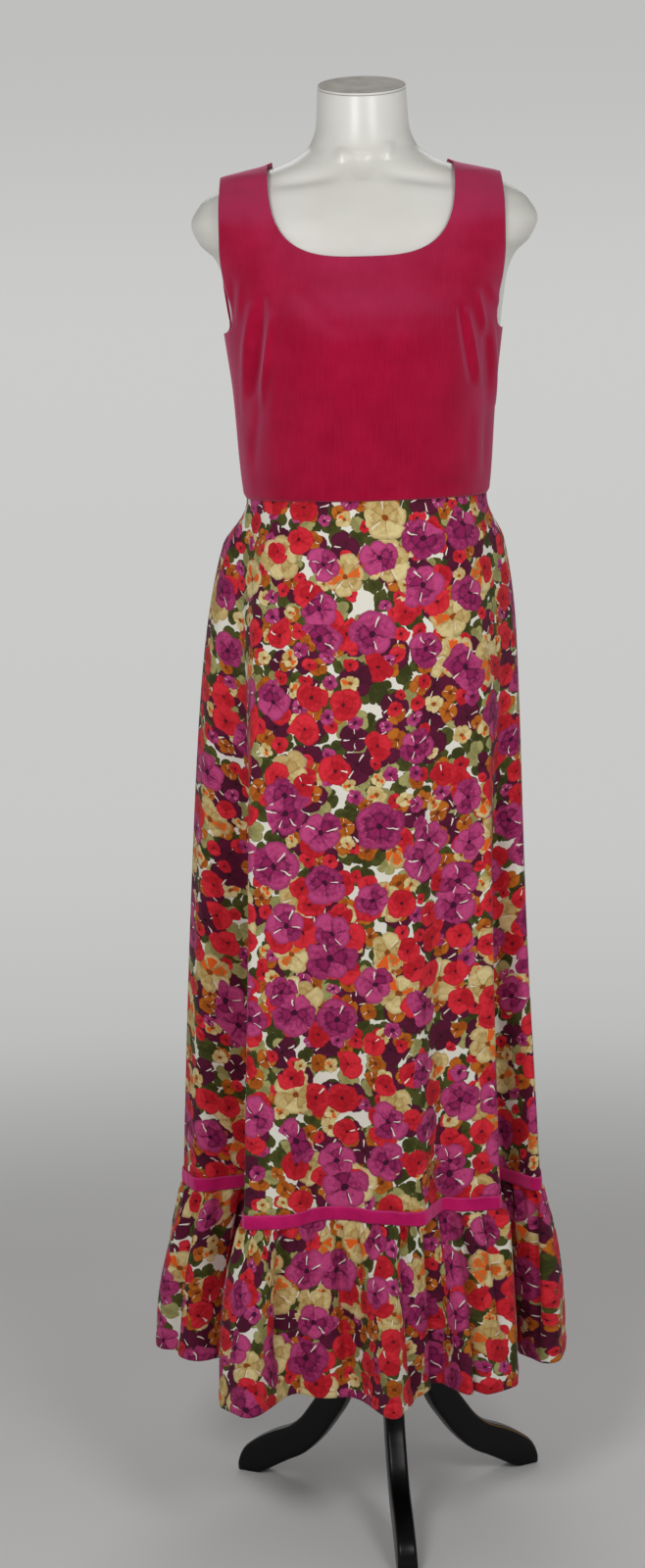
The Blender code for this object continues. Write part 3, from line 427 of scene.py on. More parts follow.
class BodiceShape:
    """Outer surface and cut edges of the bodice, in millimetres from the pole's axis."""

    NECK_HALF = {Side.FRONT: 97.0, Side.BACK: 92.0}
    NECK_LOW = {Side.FRONT: 1392.0, Side.BACK: 1447.0}
    NECK_POWER = 2 / 3.2
    STRAP_TURN = math.radians(18)
    ARMHOLE_RISE = 12.0
    RIDGE_FOOT_Z = 1429.0
    RIDGE_TOP_Z = 1496.0
    RIDGE_STEPS = 600

    def __init__(self) -> None:
        """Prepares the curves."""
        table = np.array(BODICE_SECTIONS, float)
        self.sections = Curve(table[:, 0], table[:, 1:])
        arms = np.array(ARM_EDGES, float)
        self.arms = Curve(arms[:, 0], arms[:, 1:])
        self.ridge_z = np.linspace(self.RIDGE_FOOT_Z, self.RIDGE_TOP_Z, self.RIDGE_STEPS)
        self.ridge_half = self.sections(self.ridge_z)[:, 0]

    def half(self, z: np.ndarray) -> np.ndarray:
        """Half width at a height."""
        return self.sections(z)[..., 0]

    def shoulder(self, x: np.ndarray) -> np.ndarray:
        """Height of the shoulder ridge at a distance from the middle line."""
        return np.interp(-np.abs(x), -self.ridge_half, self.ridge_z)

    def surface(self, x: np.ndarray, z: np.ndarray, side: Side) -> np.ndarray:
        """Points of the bodice.

        Args:
            x: Distances from its middle line.
            z: Heights.
            side: Front or back.

        Returns:
            One point for each pair.
        """
        rows = self.sections(z)
        depth = rows[..., 1] if side is Side.FRONT else rows[..., 2]
        share = np.minimum(1.0, np.abs(x) / rows[..., 0])
        return np.stack([x + DRESS_SHIFT, side.value * depth * np.sqrt(1 - share**2), z], axis=-1)

    def neck_edge(self, turn: np.ndarray, side: Side) -> tuple:
        """Neckline of one side.

        Args:
            turn: Turns from the shoulder, 0, to the middle, a quarter.
            side: Front or back.

        Returns:
            Distances from the middle line, and heights.
        """
        top = self.shoulder(self.NECK_HALF[side])
        x = self.NECK_HALF[side] * np.maximum(0.0, np.cos(turn)) ** self.NECK_POWER
        return x, top - (top - self.NECK_LOW[side]) * np.sin(turn) ** self.NECK_POWER

    def strap_inner(self, z: np.ndarray, side: Side) -> np.ndarray:
        """Inner edge of the strap.

        Args:
            z: Heights.
            side: Front or back.

        Returns:
            Distances from the middle line.
        """
        top = self.shoulder(self.NECK_HALF[side])
        drop = np.maximum(0.0, (top - z) / (top - self.NECK_LOW[side]))
        sine = np.minimum(math.sin(self.STRAP_TURN), drop ** (1 / self.NECK_POWER))
        return self.NECK_HALF[side] * (1 - sine**2) ** (self.NECK_POWER / 2)

    def strap_outer(self, z: np.ndarray, side: Side) -> np.ndarray:
        """Outer edge of the strap."""
        return self.arms(z)[..., 0 if side is Side.FRONT else 1]

    def low_edge(self, x: np.ndarray, side: Side) -> np.ndarray:
        """Row that the armhole's underside lies on.

        Args:
            x: Distances from the middle line.
            side: Front or back.

        Returns:
            Heights.
        """
        inner = float(self.strap_outer(np.array(UNDERARM_Z), side))
        outer = float(self.half(np.array(UNDERARM_Z)))
        share = np.clip((outer - np.abs(x)) / (outer - inner), 0, 1)
        return UNDERARM_Z + self.ARMHOLE_RISE * (1 - np.sqrt(1 - share**2))


Value = Union["Wire", float, Sequence[float]]


class Wire:
    """An output socket of a material's nodes, usable in arithmetic."""

    def __init__(self, board: "Board", socket: bpy.types.NodeSocket) -> None:
        """Remembers where the socket is."""
        self.board = board
        self.socket = socket

    @property
    def is_vector(self) -> bool:
        """Says whether the socket holds a vector."""
        return self.socket.type == "VECTOR"

    def __add__(self, other: Value) -> "Wire":
        """Sum."""
        return self.board.calculate("ADD", self, other)

    __radd__ = __add__

    def __mul__(self, other: Value) -> "Wire":
        """Product."""
        return self.board.calculate("MULTIPLY", self, other)

    __rmul__ = __mul__

    def __sub__(self, other: Value) -> "Wire":
        """Difference."""
        return self.board.calculate("SUBTRACT", self, other)

    def __rsub__(self, other: Value) -> "Wire":
        """Difference from a number."""
        return self.board.calculate("SUBTRACT", other, self)

    def __truediv__(self, other: Value) -> "Wire":
        """Quotient."""
        return self.board.calculate("DIVIDE", self, other)

    def __rtruediv__(self, other: Value) -> "Wire":
        """Quotient of a number."""
        return self.board.calculate("DIVIDE", other, self)

    def __lt__(self, other: Value) -> "Wire":
        """1 where this is less than the other."""
        return self.board.calculate("LESS_THAN", self, other)

    def __gt__(self, other: Value) -> "Wire":
        """1 where this is more than the other."""
        return self.board.calculate("GREATER_THAN", self, other)


Owner = Union[bpy.types.Material, bpy.types.World]


class Board:
    """Nodes of one material, or of the surround."""

    def __init__(self, owner: Owner, shader: str = "Principled BSDF") -> None:
        """Turns the nodes on and keeps the shader.

        Args:
            owner: The material or the world.
            shader: Name of the shader that stands there from the start.
        """
        owner.use_nodes = True
        self.owner = owner
        self.nodes = owner.node_tree.nodes
        self.links = owner.node_tree.links
        self.shader = self.nodes[shader]

    def node(
        self, kind: str, settings: Optional[dict] = None, sockets: Optional[dict] = None
    ) -> bpy.types.Node:
        """Adds a node.

        Args:
            kind: Type of the node.
            settings: Properties of the node, set first. "stops" holds a ramp's places and colours.
            sockets: Values or wires of its sockets, by identifier or number.

        Returns:
            The node.
        """
        made = self.nodes.new(kind)
        for key, value in (settings or {}).items():
            if key == "stops":
                self.set_stops(made.color_ramp, value)
            else:
                setattr(made, key, value)
        for key, value in (sockets or {}).items():
            self.feed(made, key, value)
        return made

    @staticmethod
    def set_stops(ramp: bpy.types.ColorRamp, stops: Sequence[tuple]) -> None:
        """Sets a ramp's stops, eased between them.

        Args:
            ramp: The ramp.
            stops: Place and colour of each stop.
        """
        ramp.interpolation = "EASE"
        while len(ramp.elements) < len(stops):
            ramp.elements.new(0.5)
        for element, (place, colour) in zip(ramp.elements, stops):
            element.position = place
            element.color = (*colour, 1.0)

    def feed(self, node: bpy.types.Node, key: Union[str, int], value: Value) -> None:
        """Sets or links one socket of a node.

        Args:
            node: The node.
            key: The socket's identifier, or its number.
            value: A wire, a number or a colour.
        """
        if isinstance(key, str):
            socket = next(entry for entry in node.inputs if entry.identifier == key)
        else:
            socket = node.inputs[key]
        if isinstance(value, Wire):
            self.links.new(value.socket, socket)
        elif socket.type == "RGBA" and len(value) == 3:
            socket.default_value = (*value, 1.0)
        else:
            socket.default_value = value

    def wire(self, node: bpy.types.Node, output: Union[str, int] = 0) -> Wire:
        """Output of a node."""
        return Wire(self, node.outputs[output])

    def calculate(self, operation: str, *values: Value) -> Wire:
        """Math or Vector Math of some values.

        Args:
            operation: Name of the node's operation.
            values: Wires and numbers, in the order of the sockets.

        Returns:
            The result.
        """
        vector = any(isinstance(value, Wire) and value.is_vector for value in values)
        kind = "ShaderNodeVectorMath" if vector else "ShaderNodeMath"
        made = self.nodes.new(kind)
        made.operation = operation
        for index, value in enumerate(values):
            if vector and isinstance(value, (int, float)):
                value = (value, value, value)
            self.feed(made, index, value)
        return self.wire(made)

    def length(self, vector: Wire) -> Wire:
        """Length of a vector."""
        made = self.node("ShaderNodeVectorMath", {"operation": "LENGTH"}, {0: vector})
        return self.wire(made, "Value")

    def step(self, value: Wire, low: float, high: float) -> Wire:
        """Eases from 0 at low to 1 at high. A low above the high turns it round.

        Args:
            value: What is eased.
            low: Value that gives 0.
            high: Value that gives 1.

        Returns:
            A number between 0 and 1.
        """
        sockets = {"Value": value, "From Min": low, "From Max": high, "To Min": 0.0, "To Max": 1.0}
        if low > high:
            sockets.update({"From Min": high, "From Max": low, "To Min": 1.0, "To Max": 0.0})
        settings = {"interpolation_type": "SMOOTHSTEP"}
        return self.wire(self.node("ShaderNodeMapRange", settings, sockets))

    def mix(self, factor: Value, first: Value, second: Value, blend: str = "MIX") -> Wire:
        """Mix of two colours.

        Args:
            factor: Share of the second.
            first: First colour.
            second: Second colour.
            blend: Blender's name for the way of mixing.

        Returns:
            The mixed colour.
        """
        settings = {"data_type": "RGBA", "blend_type": blend}
        sockets = {"Factor_Float": factor, "A_Color": first, "B_Color": second}
        return self.wire(self.node("ShaderNodeMix", settings, sockets), 2)

    def noise(self, place: Wire, size: float, detail: float = 2.0, rough: float = 0.5) -> bpy.types.Node:
        """Noise whose features are about size metres across."""
        sockets = {"Vector": place, "Scale": 1 / size, "Detail": detail, "Roughness": rough}
        return self.node("ShaderNodeTexNoise", {"noise_dimensions": "3D"}, sockets)

    def cut(self) -> Wire:
        """Place on the flat cut of the cloth, in metres."""
        return self.wire(self.node("ShaderNodeUVMap", {"uv_map": "cut"}))

    def object_place(self) -> Wire:
        """Place in the object's own frame, in metres."""
        return self.wire(self.node("ShaderNodeTexCoord"), "Object")

    def split(self, vector: Wire) -> list:
        """The three parts of a vector."""
        made = self.node("ShaderNodeSeparateXYZ", sockets={0: vector})
        return [self.wire(made, index) for index in range(3)]

    def join(self, x: Value, y: Value, z: Value) -> Wire:
        """A vector of three parts."""
        return self.wire(self.node("ShaderNodeCombineXYZ", sockets={0: x, 1: y, 2: z}))

    def bump(self, height: Wire, strength: float, distance: float) -> None:
        """Feeds the shader's normal from a height between 0 and 1."""
        sockets = {"Height": height, "Strength": strength, "Distance": distance}
        self.feed(self.shader, "Normal", self.wire(self.node("ShaderNodeBump", sockets=sockets)))

    def finish(self, **numbers: Value) -> Owner:
        """Sets the shader's sockets, whose names are given with _ for spaces.

        Args:
            numbers: Values and wires by socket name.

        Returns:
            The material or the world.
        """
        for name, value in numbers.items():
            self.feed(self.shader, name.replace("_", " "), value)
        return self.owner


def tone(code: str) -> tuple:
    """Scene-linear colour of a hexadecimal code."""
    parts = [int(code[index : index + 2], 16) / 255 for index in (0, 2, 4)]
    return tuple(part / 12.92 if part <= 0.04045 else ((part + 0.055) / 1.055) ** 2.4 for part in parts)


@dataclass(frozen=True)
class Velveteen:
    """Short cotton pile with a fine upright wale, and a painted sheen where the pile faces up or to the
    sides.
    """

    name: str
    deep: tuple = tone("96082C")
    pile: tuple = tone("A20D34")
    # Paler tone of the painted sheen, also used for the wale lines.
    brushed: tuple = tone("B04068")
    glow: tuple = (1.0, 0.45, 0.62)
    wale: float = 0.0016
    streak: float = 0.030
    patch: float = 0.045
    # Band of painted sheen near the shoulders, in metres of height, then the shares of the three kinds of
    # painted sheen.
    painted_shoulder_sheen_from: float = 1.33
    painted_shoulder_sheen_to: float = 1.47
    painted_upward_sheen_share: float = 0.34
    painted_shoulder_sheen_share: float = 0.12
    painted_side_sheen_share: float = 0.42
    wale_share: float = 0.06

    def build(self) -> bpy.types.Material:
        """Makes the material, with a painted sheen: paler where the pile faces up or to the sides and near
        the shoulders.

        Returns:
            The material.
        """
        board = Board(bpy.data.materials.new(self.name))
        place = board.cut()
        across, along, _ = board.split(place)
        line = board.join(across / self.wale, along / self.streak, 0.0)
        wale = board.wire(board.noise(line, 1.0, 2.0))
        cloud = board.wire(board.noise(place, self.patch, 3.0, 0.6))
        facing = board.wire(board.node("ShaderNodeNewGeometry"), "Normal")
        sideways, _, upward = board.split(facing)
        height = board.split(board.object_place())[2]
        # Painted sheen: the pile is made paler where it faces up (lean), in a band near the shoulders, and
        # where it faces to the sides (turned).
        lean = board.step(upward + (cloud - 0.5) * 0.10, 0.02, 0.46)
        painted_shoulder_sheen = board.step(height + (cloud - 0.5) * 0.05, self.painted_shoulder_sheen_from, self.painted_shoulder_sheen_to)
        colour = board.mix(board.step(cloud, 0.3, 0.72), self.deep, self.pile)
        turned = board.step(board.calculate("ABSOLUTE", sideways), 0.55, 0.95)
        # pale is the sum of the painted sheen, the share of the paler tone.
        pale = lean * self.painted_upward_sheen_share + painted_shoulder_sheen * self.painted_shoulder_sheen_share + turned * self.painted_side_sheen_share
        colour = board.mix(pale, colour, self.brushed)
        colour = board.mix(board.step(wale, 0.35, 0.75) * self.wale_share, colour, self.brushed)
        board.bump(wale * 0.8 + cloud * 0.2, 0.35, 0.0004)
        return board.finish(
            Base_Color=colour,
            Roughness=0.95,
            Specular_IOR_Level=0.05,
            Sheen_Weight=0.40,
            Sheen_Roughness=0.45,
            Sheen_Tint=self.glow,
        )


@dataclass(frozen=True)
class Motif:
    """One kind of printed flower or leaf, scattered over the cloth.

    cell is the spacing and radius the size, in metres. petals is their number, notch how deep the outline is
    cut between them, share how many of the places hold one, and shift moves the scatter. The colours are the
    heart's, the shaded and the lit petals', and that of the shade between petals. parting says how strong
    that shade is, slits how many petals have a pale stroke, flames how many have a coloured patch, and curl
    how dark the arc is where a petal folds over.
    """

    cell: float
    radius: float
    petals: int
    notch: float
    share: float
    shift: tuple
    heart: tuple
    heart_size: float
    shaded: tuple
    lit: tuple
    between: tuple
    parting: float = 0.0
    slits: float = 0.0
    flames: float = 0.0
    curl: float = 0.0


LEAF_DARK = Motif(
    cell=0.0205, radius=0.0138, petals=2, notch=0.40, share=0.97, shift=(0.31, 0.77),
    heart=tone("444616"), heart_size=0.0, shaded=tone("34360F"), lit=tone("4C4E1C"), between=tone("2C2E0C"),
)
LEAF_PALE = Motif(
    cell=0.0240, radius=0.0115, petals=3, notch=0.35, share=0.62, shift=(0.93, 0.15),
    heart=tone("98925A"), heart_size=0.0, shaded=tone("8A8450"), lit=tone("A8A268"), between=tone("6C6838"),
)
AUBERGINE = Motif(
    cell=0.0385, radius=0.0205, petals=4, notch=0.20, share=0.78, shift=(3.31, 0.83),
    heart=tone("2A0518"), heart_size=0.10, shaded=tone("4A0926"), lit=tone("5C0D32"), between=tone("32041A"),
    parting=0.5, slits=0.55,
)
RUST = Motif(
    cell=0.0280, radius=0.0112, petals=4, notch=0.20, share=0.56, shift=(2.17, 1.39),
    heart=tone("6A2E08"), heart_size=0.22, shaded=tone("A24E08"), lit=tone("BE6A1A"), between=tone("7E3A06"),
    parting=0.6, slits=0.50, curl=0.4,
)
RED_SMALL = Motif(
    cell=0.0240, radius=0.0082, petals=4, notch=0.10, share=0.46, shift=(1.71, 0.42),
    heart=tone("4A0E20"), heart_size=0.20, shaded=tone("B41220"), lit=tone("DA2A3A"), between=tone("8E0C1C"),
    parting=0.4,
)
CREAM_SMALL = Motif(
    cell=0.0300, radius=0.0098, petals=5, notch=0.22, share=0.34, shift=(0.57, 2.61),
    heart=tone("96460F"), heart_size=0.26, shaded=tone("C2A666"), lit=tone("DECC96"), between=tone("A07C3C"),
    parting=0.6, slits=0.2, flames=0.2,
)
MAGENTA_SMALL = Motif(
    cell=0.0310, radius=0.0092, petals=5, notch=0.20, share=0.34, shift=(5.23, 0.61),
    heart=tone("4A0A34"), heart_size=0.26, shaded=tone("942058"), lit=tone("BE4680"), between=tone("640F42"),
    parting=0.6, slits=0.3,
)
CREAM_BIG = Motif(
    cell=0.0560, radius=0.0240, petals=6, notch=0.16, share=0.40, shift=(4.19, 2.23),
    heart=tone("8A400E"), heart_size=0.15, shaded=tone("BC9E60"), lit=tone("DCCA92"), between=tone("98743A"),
    parting=0.7, slits=0.20, flames=0.30, curl=0.55,
)
RED_POPPY = Motif(
    cell=0.0350, radius=0.0160, petals=3, notch=0.10, share=0.54, shift=(1.13, 3.77),
    heart=tone("560A1C"), heart_size=0.13, shaded=tone("B41020"), lit=tone("DC2A38"), between=tone("8E0A1A"),
    parting=0.5, slits=0.06, curl=0.35,
)
MAGENTA_BIG = Motif(
    cell=0.0500, radius=0.0245, petals=5, notch=0.16, share=0.50, shift=(2.71, 4.57),
    heart=tone("3E0628"), heart_size=0.15, shaded=tone("8C1954"), lit=tone("C2467E"), between=tone("560A34"),
    parting=0.85, slits=0.35, curl=0.75,
)
PRINT_MOTIFS = (
    LEAF_DARK,
    LEAF_PALE,
    AUBERGINE,
    RUST,
    RED_SMALL,
    CREAM_SMALL,
    MAGENTA_SMALL,
    CREAM_BIG,
    RED_POPPY,
    MAGENTA_BIG,
)


@dataclass(frozen=True)
class PrintedCotton:
    """Plain-woven cotton with a dense scatter of painted flowers and leaves on a pale ground."""

    name: str = "printed_cotton_cloth"
    ground: tuple = tone("E2DED2")
    stroke: tuple = tone("EADFD2")
    flame: tuple = tone("E0601A")
    thread: float = 0.0006
    brush: float = 0.0045
    drift: float = 0.0085
    drift_size: float = 0.0125

    def motif(self, board: Board, place: Wire, brush: Wire, under: Value, kind: Motif) -> Wire:
        """Prints one kind of motif over what lies under it.

        Args:
            board: Nodes of the material.
            place: Place on the cut.
            brush: Uneven strokes of the paint, between 0 and 1.
            under: Colour so far.
            kind: The motif.

        Returns:
            The new colour.
        """
        spot = place + (kind.shift[0], kind.shift[1], 0.0)
        cells = board.node(
            "ShaderNodeTexVoronoi",
            {"voronoi_dimensions": "2D", "feature": "F1"},
            {"Vector": spot, "Scale": 1 / kind.cell, "Randomness": 0.85},
        )
        chance = board.node("ShaderNodeSeparateColor", sockets={0: board.wire(cells, "Color")})
        luck, size, spin = (board.wire(chance, index) for index in range(3))
        away = spot - board.wire(cells, "Position")
        x, y, _ = board.split(away)
        turns = (board.calculate("ARCTAN2", y, x) * (1 / math.tau) + spin) * kind.petals
        within = board.calculate("FRACT", turns)
        petal = board.calculate("FLOORED_MODULO", board.calculate("FLOOR", turns), kind.petals)
        ticket = board.join(petal, luck * 37, size * 91)
        draw = board.node("ShaderNodeTexWhiteNoise", {"noise_dimensions": "3D"}, {"Vector": ticket})
        traits = board.node("ShaderNodeSeparateColor", sockets={0: board.wire(draw, "Color")})
        long, bright, marked = (board.wire(traits, index) for index in range(3))
        bulge = board.calculate("POWER", board.calculate("SINE", within * math.pi), 0.6)
        outline = bulge * kind.notch + (1 - kind.notch)
        edge = outline * (long * 0.30 + 0.76) * (size * 0.40 + 0.78) * kind.radius
        share = board.length(away) / edge
        uneven = brush - 0.5
        glow = board.step(share * 0.5 + bright * 0.55 + uneven * 1.3, 0.25, 0.95)
        colour = board.mix(glow, kind.shaded, kind.lit)
        if kind.flames:
            patch = board.step(share + uneven * 0.5, 0.85, 0.72) * board.step(bulge, 0.5, 0.7)
            colour = board.mix((marked < kind.flames) * patch, colour, self.flame)
        parting = board.step(bulge + uneven * 0.3, 0.62, 0.28) * board.step(share, 1.05, 0.35) * kind.parting
        rim = board.step(share + uneven * 0.2, 0.80, 1.0) * 0.45
        colour = board.mix(board.calculate("MAXIMUM", parting, rim), colour, kind.between)
        if kind.curl:
            arc = board.step(board.calculate("ABSOLUTE", share + uneven * 0.6 - 0.55), 0.10, 0.03)
            colour = board.mix(arc * (bright < 0.55) * kind.curl, colour, kind.between)
        if kind.heart_size:
            heart = board.step(share + uneven * 0.15, kind.heart_size * 1.15, kind.heart_size * 0.85)
            colour = board.mix(heart, colour, kind.heart)
        if kind.slits:
            band = board.step(board.calculate("ABSOLUTE", within - 0.10), 0.055, 0.03)
            run = board.step(share, 0.30, 0.38) * board.step(share, 0.86, 0.74) * (marked > 1 - kind.slits)
            colour = board.mix(band * run, colour, self.stroke)
        mask = board.step(share, 1.03, 0.97) * (luck < kind.share)
        return board.mix(mask, under, colour)

    def build(self) -> bpy.types.Material:
        """Makes the material.

        Returns:
            The material.
        """
        board = Board(bpy.data.materials.new(self.name))
        flat = board.cut()
        drift = board.wire(board.noise(flat, self.drift_size, 2.0), "Color")
        place = flat + (drift - 0.5) * self.drift
        brush = board.wire(board.noise(place, self.brush, 3.0, 0.65))
        colour = self.ground
        for kind in PRINT_MOTIFS:
            colour = self.motif(board, place, brush, colour, kind)
        across, along, _ = board.split(flat)
        warp = board.calculate("SINE", across * (math.tau / self.thread))
        weft = board.calculate("SINE", along * (math.tau / self.thread))
        board.bump((warp + weft) * 0.25 + brush * 0.5, 0.2, 0.0003)
        return board.finish(
            Base_Color=colour, Roughness=0.8, Specular_IOR_Level=0.2, Sheen_Weight=0.04, Sheen_Roughness=0.5
        )


@dataclass(frozen=True)
class GlossyShell:
    """Moulded off-white shell with a clear gloss."""

    name: str = "form_gloss_shell"
    body: tuple = tone("DAD9D3")
    scuffed: tuple = tone("D0CEC5")
    dust: tuple = tone("8C8A80")

    def build(self) -> bpy.types.Material:
        """Makes the material.

        Returns:
            The material.
        """
        board = Board(bpy.data.materials.new(self.name))
        place = board.object_place()
        cloud = board.wire(board.noise(place, 0.12, 3.0))
        speck = board.wire(board.noise(place, 0.004, 2.0))
        colour = board.mix(board.step(cloud, 0.35, 0.75), self.body, self.scuffed)
        colour = board.mix(board.step(speck, 0.76, 0.80) * 0.35, colour, self.dust)
        board.bump(cloud * 0.6 + speck * 0.05, 0.12, 0.002)
        return board.finish(
            Base_Color=colour,
            Roughness=cloud * 0.10 + 0.30,
            Specular_IOR_Level=0.45,
            Coat_Weight=0.25,
            Coat_Roughness=0.2,
        )


@dataclass(frozen=True)
class PlainCap:
    """Matt grey-beige plate on the neck."""

    name: str = "neck_cap_grey"
    light: tuple = tone("98917F")
    dark: tuple = tone("888172")

    def build(self) -> bpy.types.Material:
        """Makes the material.

        Returns:
            The material.
        """
        board = Board(bpy.data.materials.new(self.name))
        cloud = board.wire(board.noise(board.object_place(), 0.02, 4.0, 0.6))
        board.bump(cloud, 0.15, 0.0008)
        colour = board.mix(board.step(cloud, 0.3, 0.7), self.light, self.dark)
        return board.finish(Base_Color=colour, Roughness=cloud * 0.2 + 0.4)


@dataclass(frozen=True)
class BlackPaint:
    """Black gloss paint on wood, rubbed through along the upper edges."""

    name: str = "black_gloss_paint"
    paint: tuple = tone("060607")
    bare: tuple = tone("8C6A34")

    def build(self) -> bpy.types.Material:
        """Makes the material.

        Returns:
            The material.
        """
        board = Board(bpy.data.materials.new(self.name))
        place = board.object_place()
        grain = board.wire(board.noise(place, 0.011, 4.0, 0.6))
        worn = board.wire(board.node("ShaderNodeAttribute", {"attribute_name": "wear"}), "Fac")
        rub = board.step(worn + (grain - 0.5) * 0.5, 0.62, 0.85)
        board.bump(grain, 0.12, 0.0006)
        return board.finish(
            Base_Color=board.mix(rub * 0.8, self.paint, self.bare),
            Roughness=rub * 0.25 + grain * 0.10 + 0.24,
            Specular_IOR_Level=0.20,
        )


@dataclass(frozen=True)
class BrushedMetal:
    """Metal with fine marks along its length."""

    name: str
    light: tuple
    dark: tuple
    rough: float
    mark_width: float = 0.0006
    mark_length: float = 0.02

    def build(self) -> bpy.types.Material:
        """Makes the material.

        Returns:
            The material.
        """
        board = Board(bpy.data.materials.new(self.name))
        x, y, z = board.split(board.object_place())
        line = board.join(x / self.mark_width, y / self.mark_width, z / self.mark_length)
        marks = board.wire(board.noise(line, 1.0, 3.0))
        board.bump(marks, 0.10, 0.0002)
        return board.finish(
            Base_Color=board.mix(board.step(marks, 0.3, 0.8), self.light, self.dark),
            Metallic=1.0,
            Roughness=marks * 0.15 + self.rough,
        )


@dataclass(frozen=True)
class ZipTape:
    """Twilled tape of the zip."""

    name: str = "zip_tape_twill"
    light: tuple = tone("A81C48")
    dark: tuple = tone("74102F")
    twill: float = 0.0009

    def build(self) -> bpy.types.Material:
        """Makes the material.

        Returns:
            The material.
        """
        board = Board(bpy.data.materials.new(self.name))
        across, along, _ = board.split(board.cut())
        twill = board.calculate("SINE", (across + along) * (math.tau / self.twill)) * 0.5 + 0.5
        board.bump(twill, 0.3, 0.0002)
        return board.finish(Base_Color=board.mix(twill, self.dark, self.light), Roughness=0.75)


@dataclass(frozen=True)
class StudioPaper:
    """Pale paper on the floor, which thins out far from the object."""

    name: str = "studio_paper"
    light: tuple = tone("F0F0EF")
    shade: tuple = tone("E8E8E7")
    solid_to: float = 0.8
    gone_at: float = 2.2
    cloud: float = 0.9

    def build(self) -> bpy.types.Material:
        """Makes the material.

        Returns:
            The material.
        """
        board = Board(bpy.data.materials.new(self.name))
        place = board.object_place()
        cloud = board.wire(board.noise(place, self.cloud, 2.0))
        return board.finish(
            Base_Color=board.mix(board.step(cloud, 0.3, 0.7), self.light, self.shade),
            Roughness=0.85,
            Specular_IOR_Level=0.2,
            Alpha=board.step(board.length(place), self.gone_at, self.solid_to),
        )


def add_piece(name: str, bm: bmesh.types.BMesh, *materials: bpy.types.Material) -> bpy.types.Object:
    """Makes an object of a mesh, shaded smooth.

    Args:
        name: Name of the piece.
        bm: Its mesh, which is used up.
        materials: Its finishes.

    Returns:
        The object.
    """
    mesh = bpy.data.meshes.new(name)
    bm.to_mesh(mesh)
    bm.free()
    mesh.shade_smooth()
    for entry in materials:
        mesh.materials.append(entry)
    made = bpy.data.objects.new(name, mesh)
    bpy.context.collection.objects.link(made)
    return made


def declare(piece: bpy.types.Object, slot: str, *nodes: str, body: str = "root") -> None:
    """Rides a piece on a body and hides the CAD nodes it stands for.

    Args:
        piece: The piece.
        slot: Not used.
        nodes: The CAD nodes.
        body: The body that it moves with.
    """
    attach(piece, body)
    if nodes:
        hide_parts(*nodes)
    faces = piece.data.polygons
    area = sum(face.area for face in faces)
    told = (piece.name, body, len(faces), area)
    log.info("%s rides on %s: %d faces, %.3f square metres before its wall", *told)


@dataclass
class Patch:
    """A grid of points, in millimetres from the pole's axis, with their places on the cut, in metres."""

    points: np.ndarray
    cut: np.ndarray


Relief = Callable[[np.ndarray, np.ndarray], np.ndarray]


def mapped_grids(name: str, patches: Sequence[Patch], relief: Optional[Relief] = None) -> bpy.types.Object:
    """Maps grids on surfaces, welds them and lifts their points along the normals.

    Args:
        name: Name of the piece.
        patches: The grids.
        relief: Gives the lift in millimetres from the points and their places on the cut.

    Returns:
        The object, a single sheet whose normals point away from the pole.
    """
    bm = bmesh.new()
    bm.loops.layers.uv.new("cut")
    for patch in patches:
        rows, columns = patch.points.shape[:2]
        bmesh.ops.create_grid(bm, x_segments=columns - 1, y_segments=rows - 1, size=0.5, calc_uvs=True)
    made = add_piece(name, bm)
    mesh = made.data
    points = np.concatenate([patch.points.reshape(-1, 3) for patch in patches]) * MM + AXIS
    cut = np.concatenate([patch.cut.reshape(-1, 2) for patch in patches])
    mesh.vertices.foreach_set("co", points.ravel())
    corners = np.empty(len(mesh.loops), int)
    mesh.loops.foreach_get("vertex_index", corners)
    mesh.uv_layers["cut"].data.foreach_set("uv", cut[corners].ravel())
    bm = bmesh.new()
    bm.from_mesh(mesh)
    bmesh.ops.remove_doubles(bm, verts=bm.verts, dist=WELD)
    bm.normal_update()
    outwards = sum(f.normal.xy.dot(f.calc_center_median().xy - Vector(AXIS[:2])) for f in bm.faces)
    if outwards < 0:
        bmesh.ops.reverse_faces(bm, faces=bm.faces)
    bm.to_mesh(mesh)
    bm.free()
    mesh.shade_smooth()
    if relief is not None:
        lift_sheet(mesh, relief)
    return made


def lift_sheet(mesh: bpy.types.Mesh, relief: Relief) -> None:
    """Moves a sheet's points along their normals.

    Args:
        mesh: The sheet.
        relief: Gives the lift in millimetres from the points and their places on the cut.
    """
    count = len(mesh.vertices)
    points = np.empty(count * 3)
    normals = np.empty(count * 3)
    mesh.vertices.foreach_get("co", points)
    mesh.vertex_normals.foreach_get("vector", normals)
    corners = np.empty(len(mesh.loops), int)
    mesh.loops.foreach_get("vertex_index", corners)
    flat = np.empty(len(mesh.loops) * 2)
    mesh.uv_layers["cut"].data.foreach_get("uv", flat)
    cut = np.zeros((count, 2))
    cut[corners] = flat.reshape(-1, 2)
    points = points.reshape(-1, 3)
    lift = relief((points - AXIS) / MM, cut)
    moved = points + normals.reshape(-1, 3) * lift[:, None] * MM
    mesh.vertices.foreach_set("co", moved.ravel())
    mesh.update()


def finish_sheet(
    piece: bpy.types.Object, material: bpy.types.Material, thickness: float, slot: str, node: str
) -> None:
    """Args:
        piece: The sheet.
        material: Its finish.
        thickness: Of the wall, in millimetres.
        slot: Its slot in the record.
        node: The CAD node that it stands for.
    """
    piece.data.materials.append(material)
    wall = piece.modifiers.new("wall", "SOLIDIFY")
    wall.thickness = thickness * MM
    wall.offset = -1.0
    wall.use_quality_normals = True
    declare(piece, slot, node)


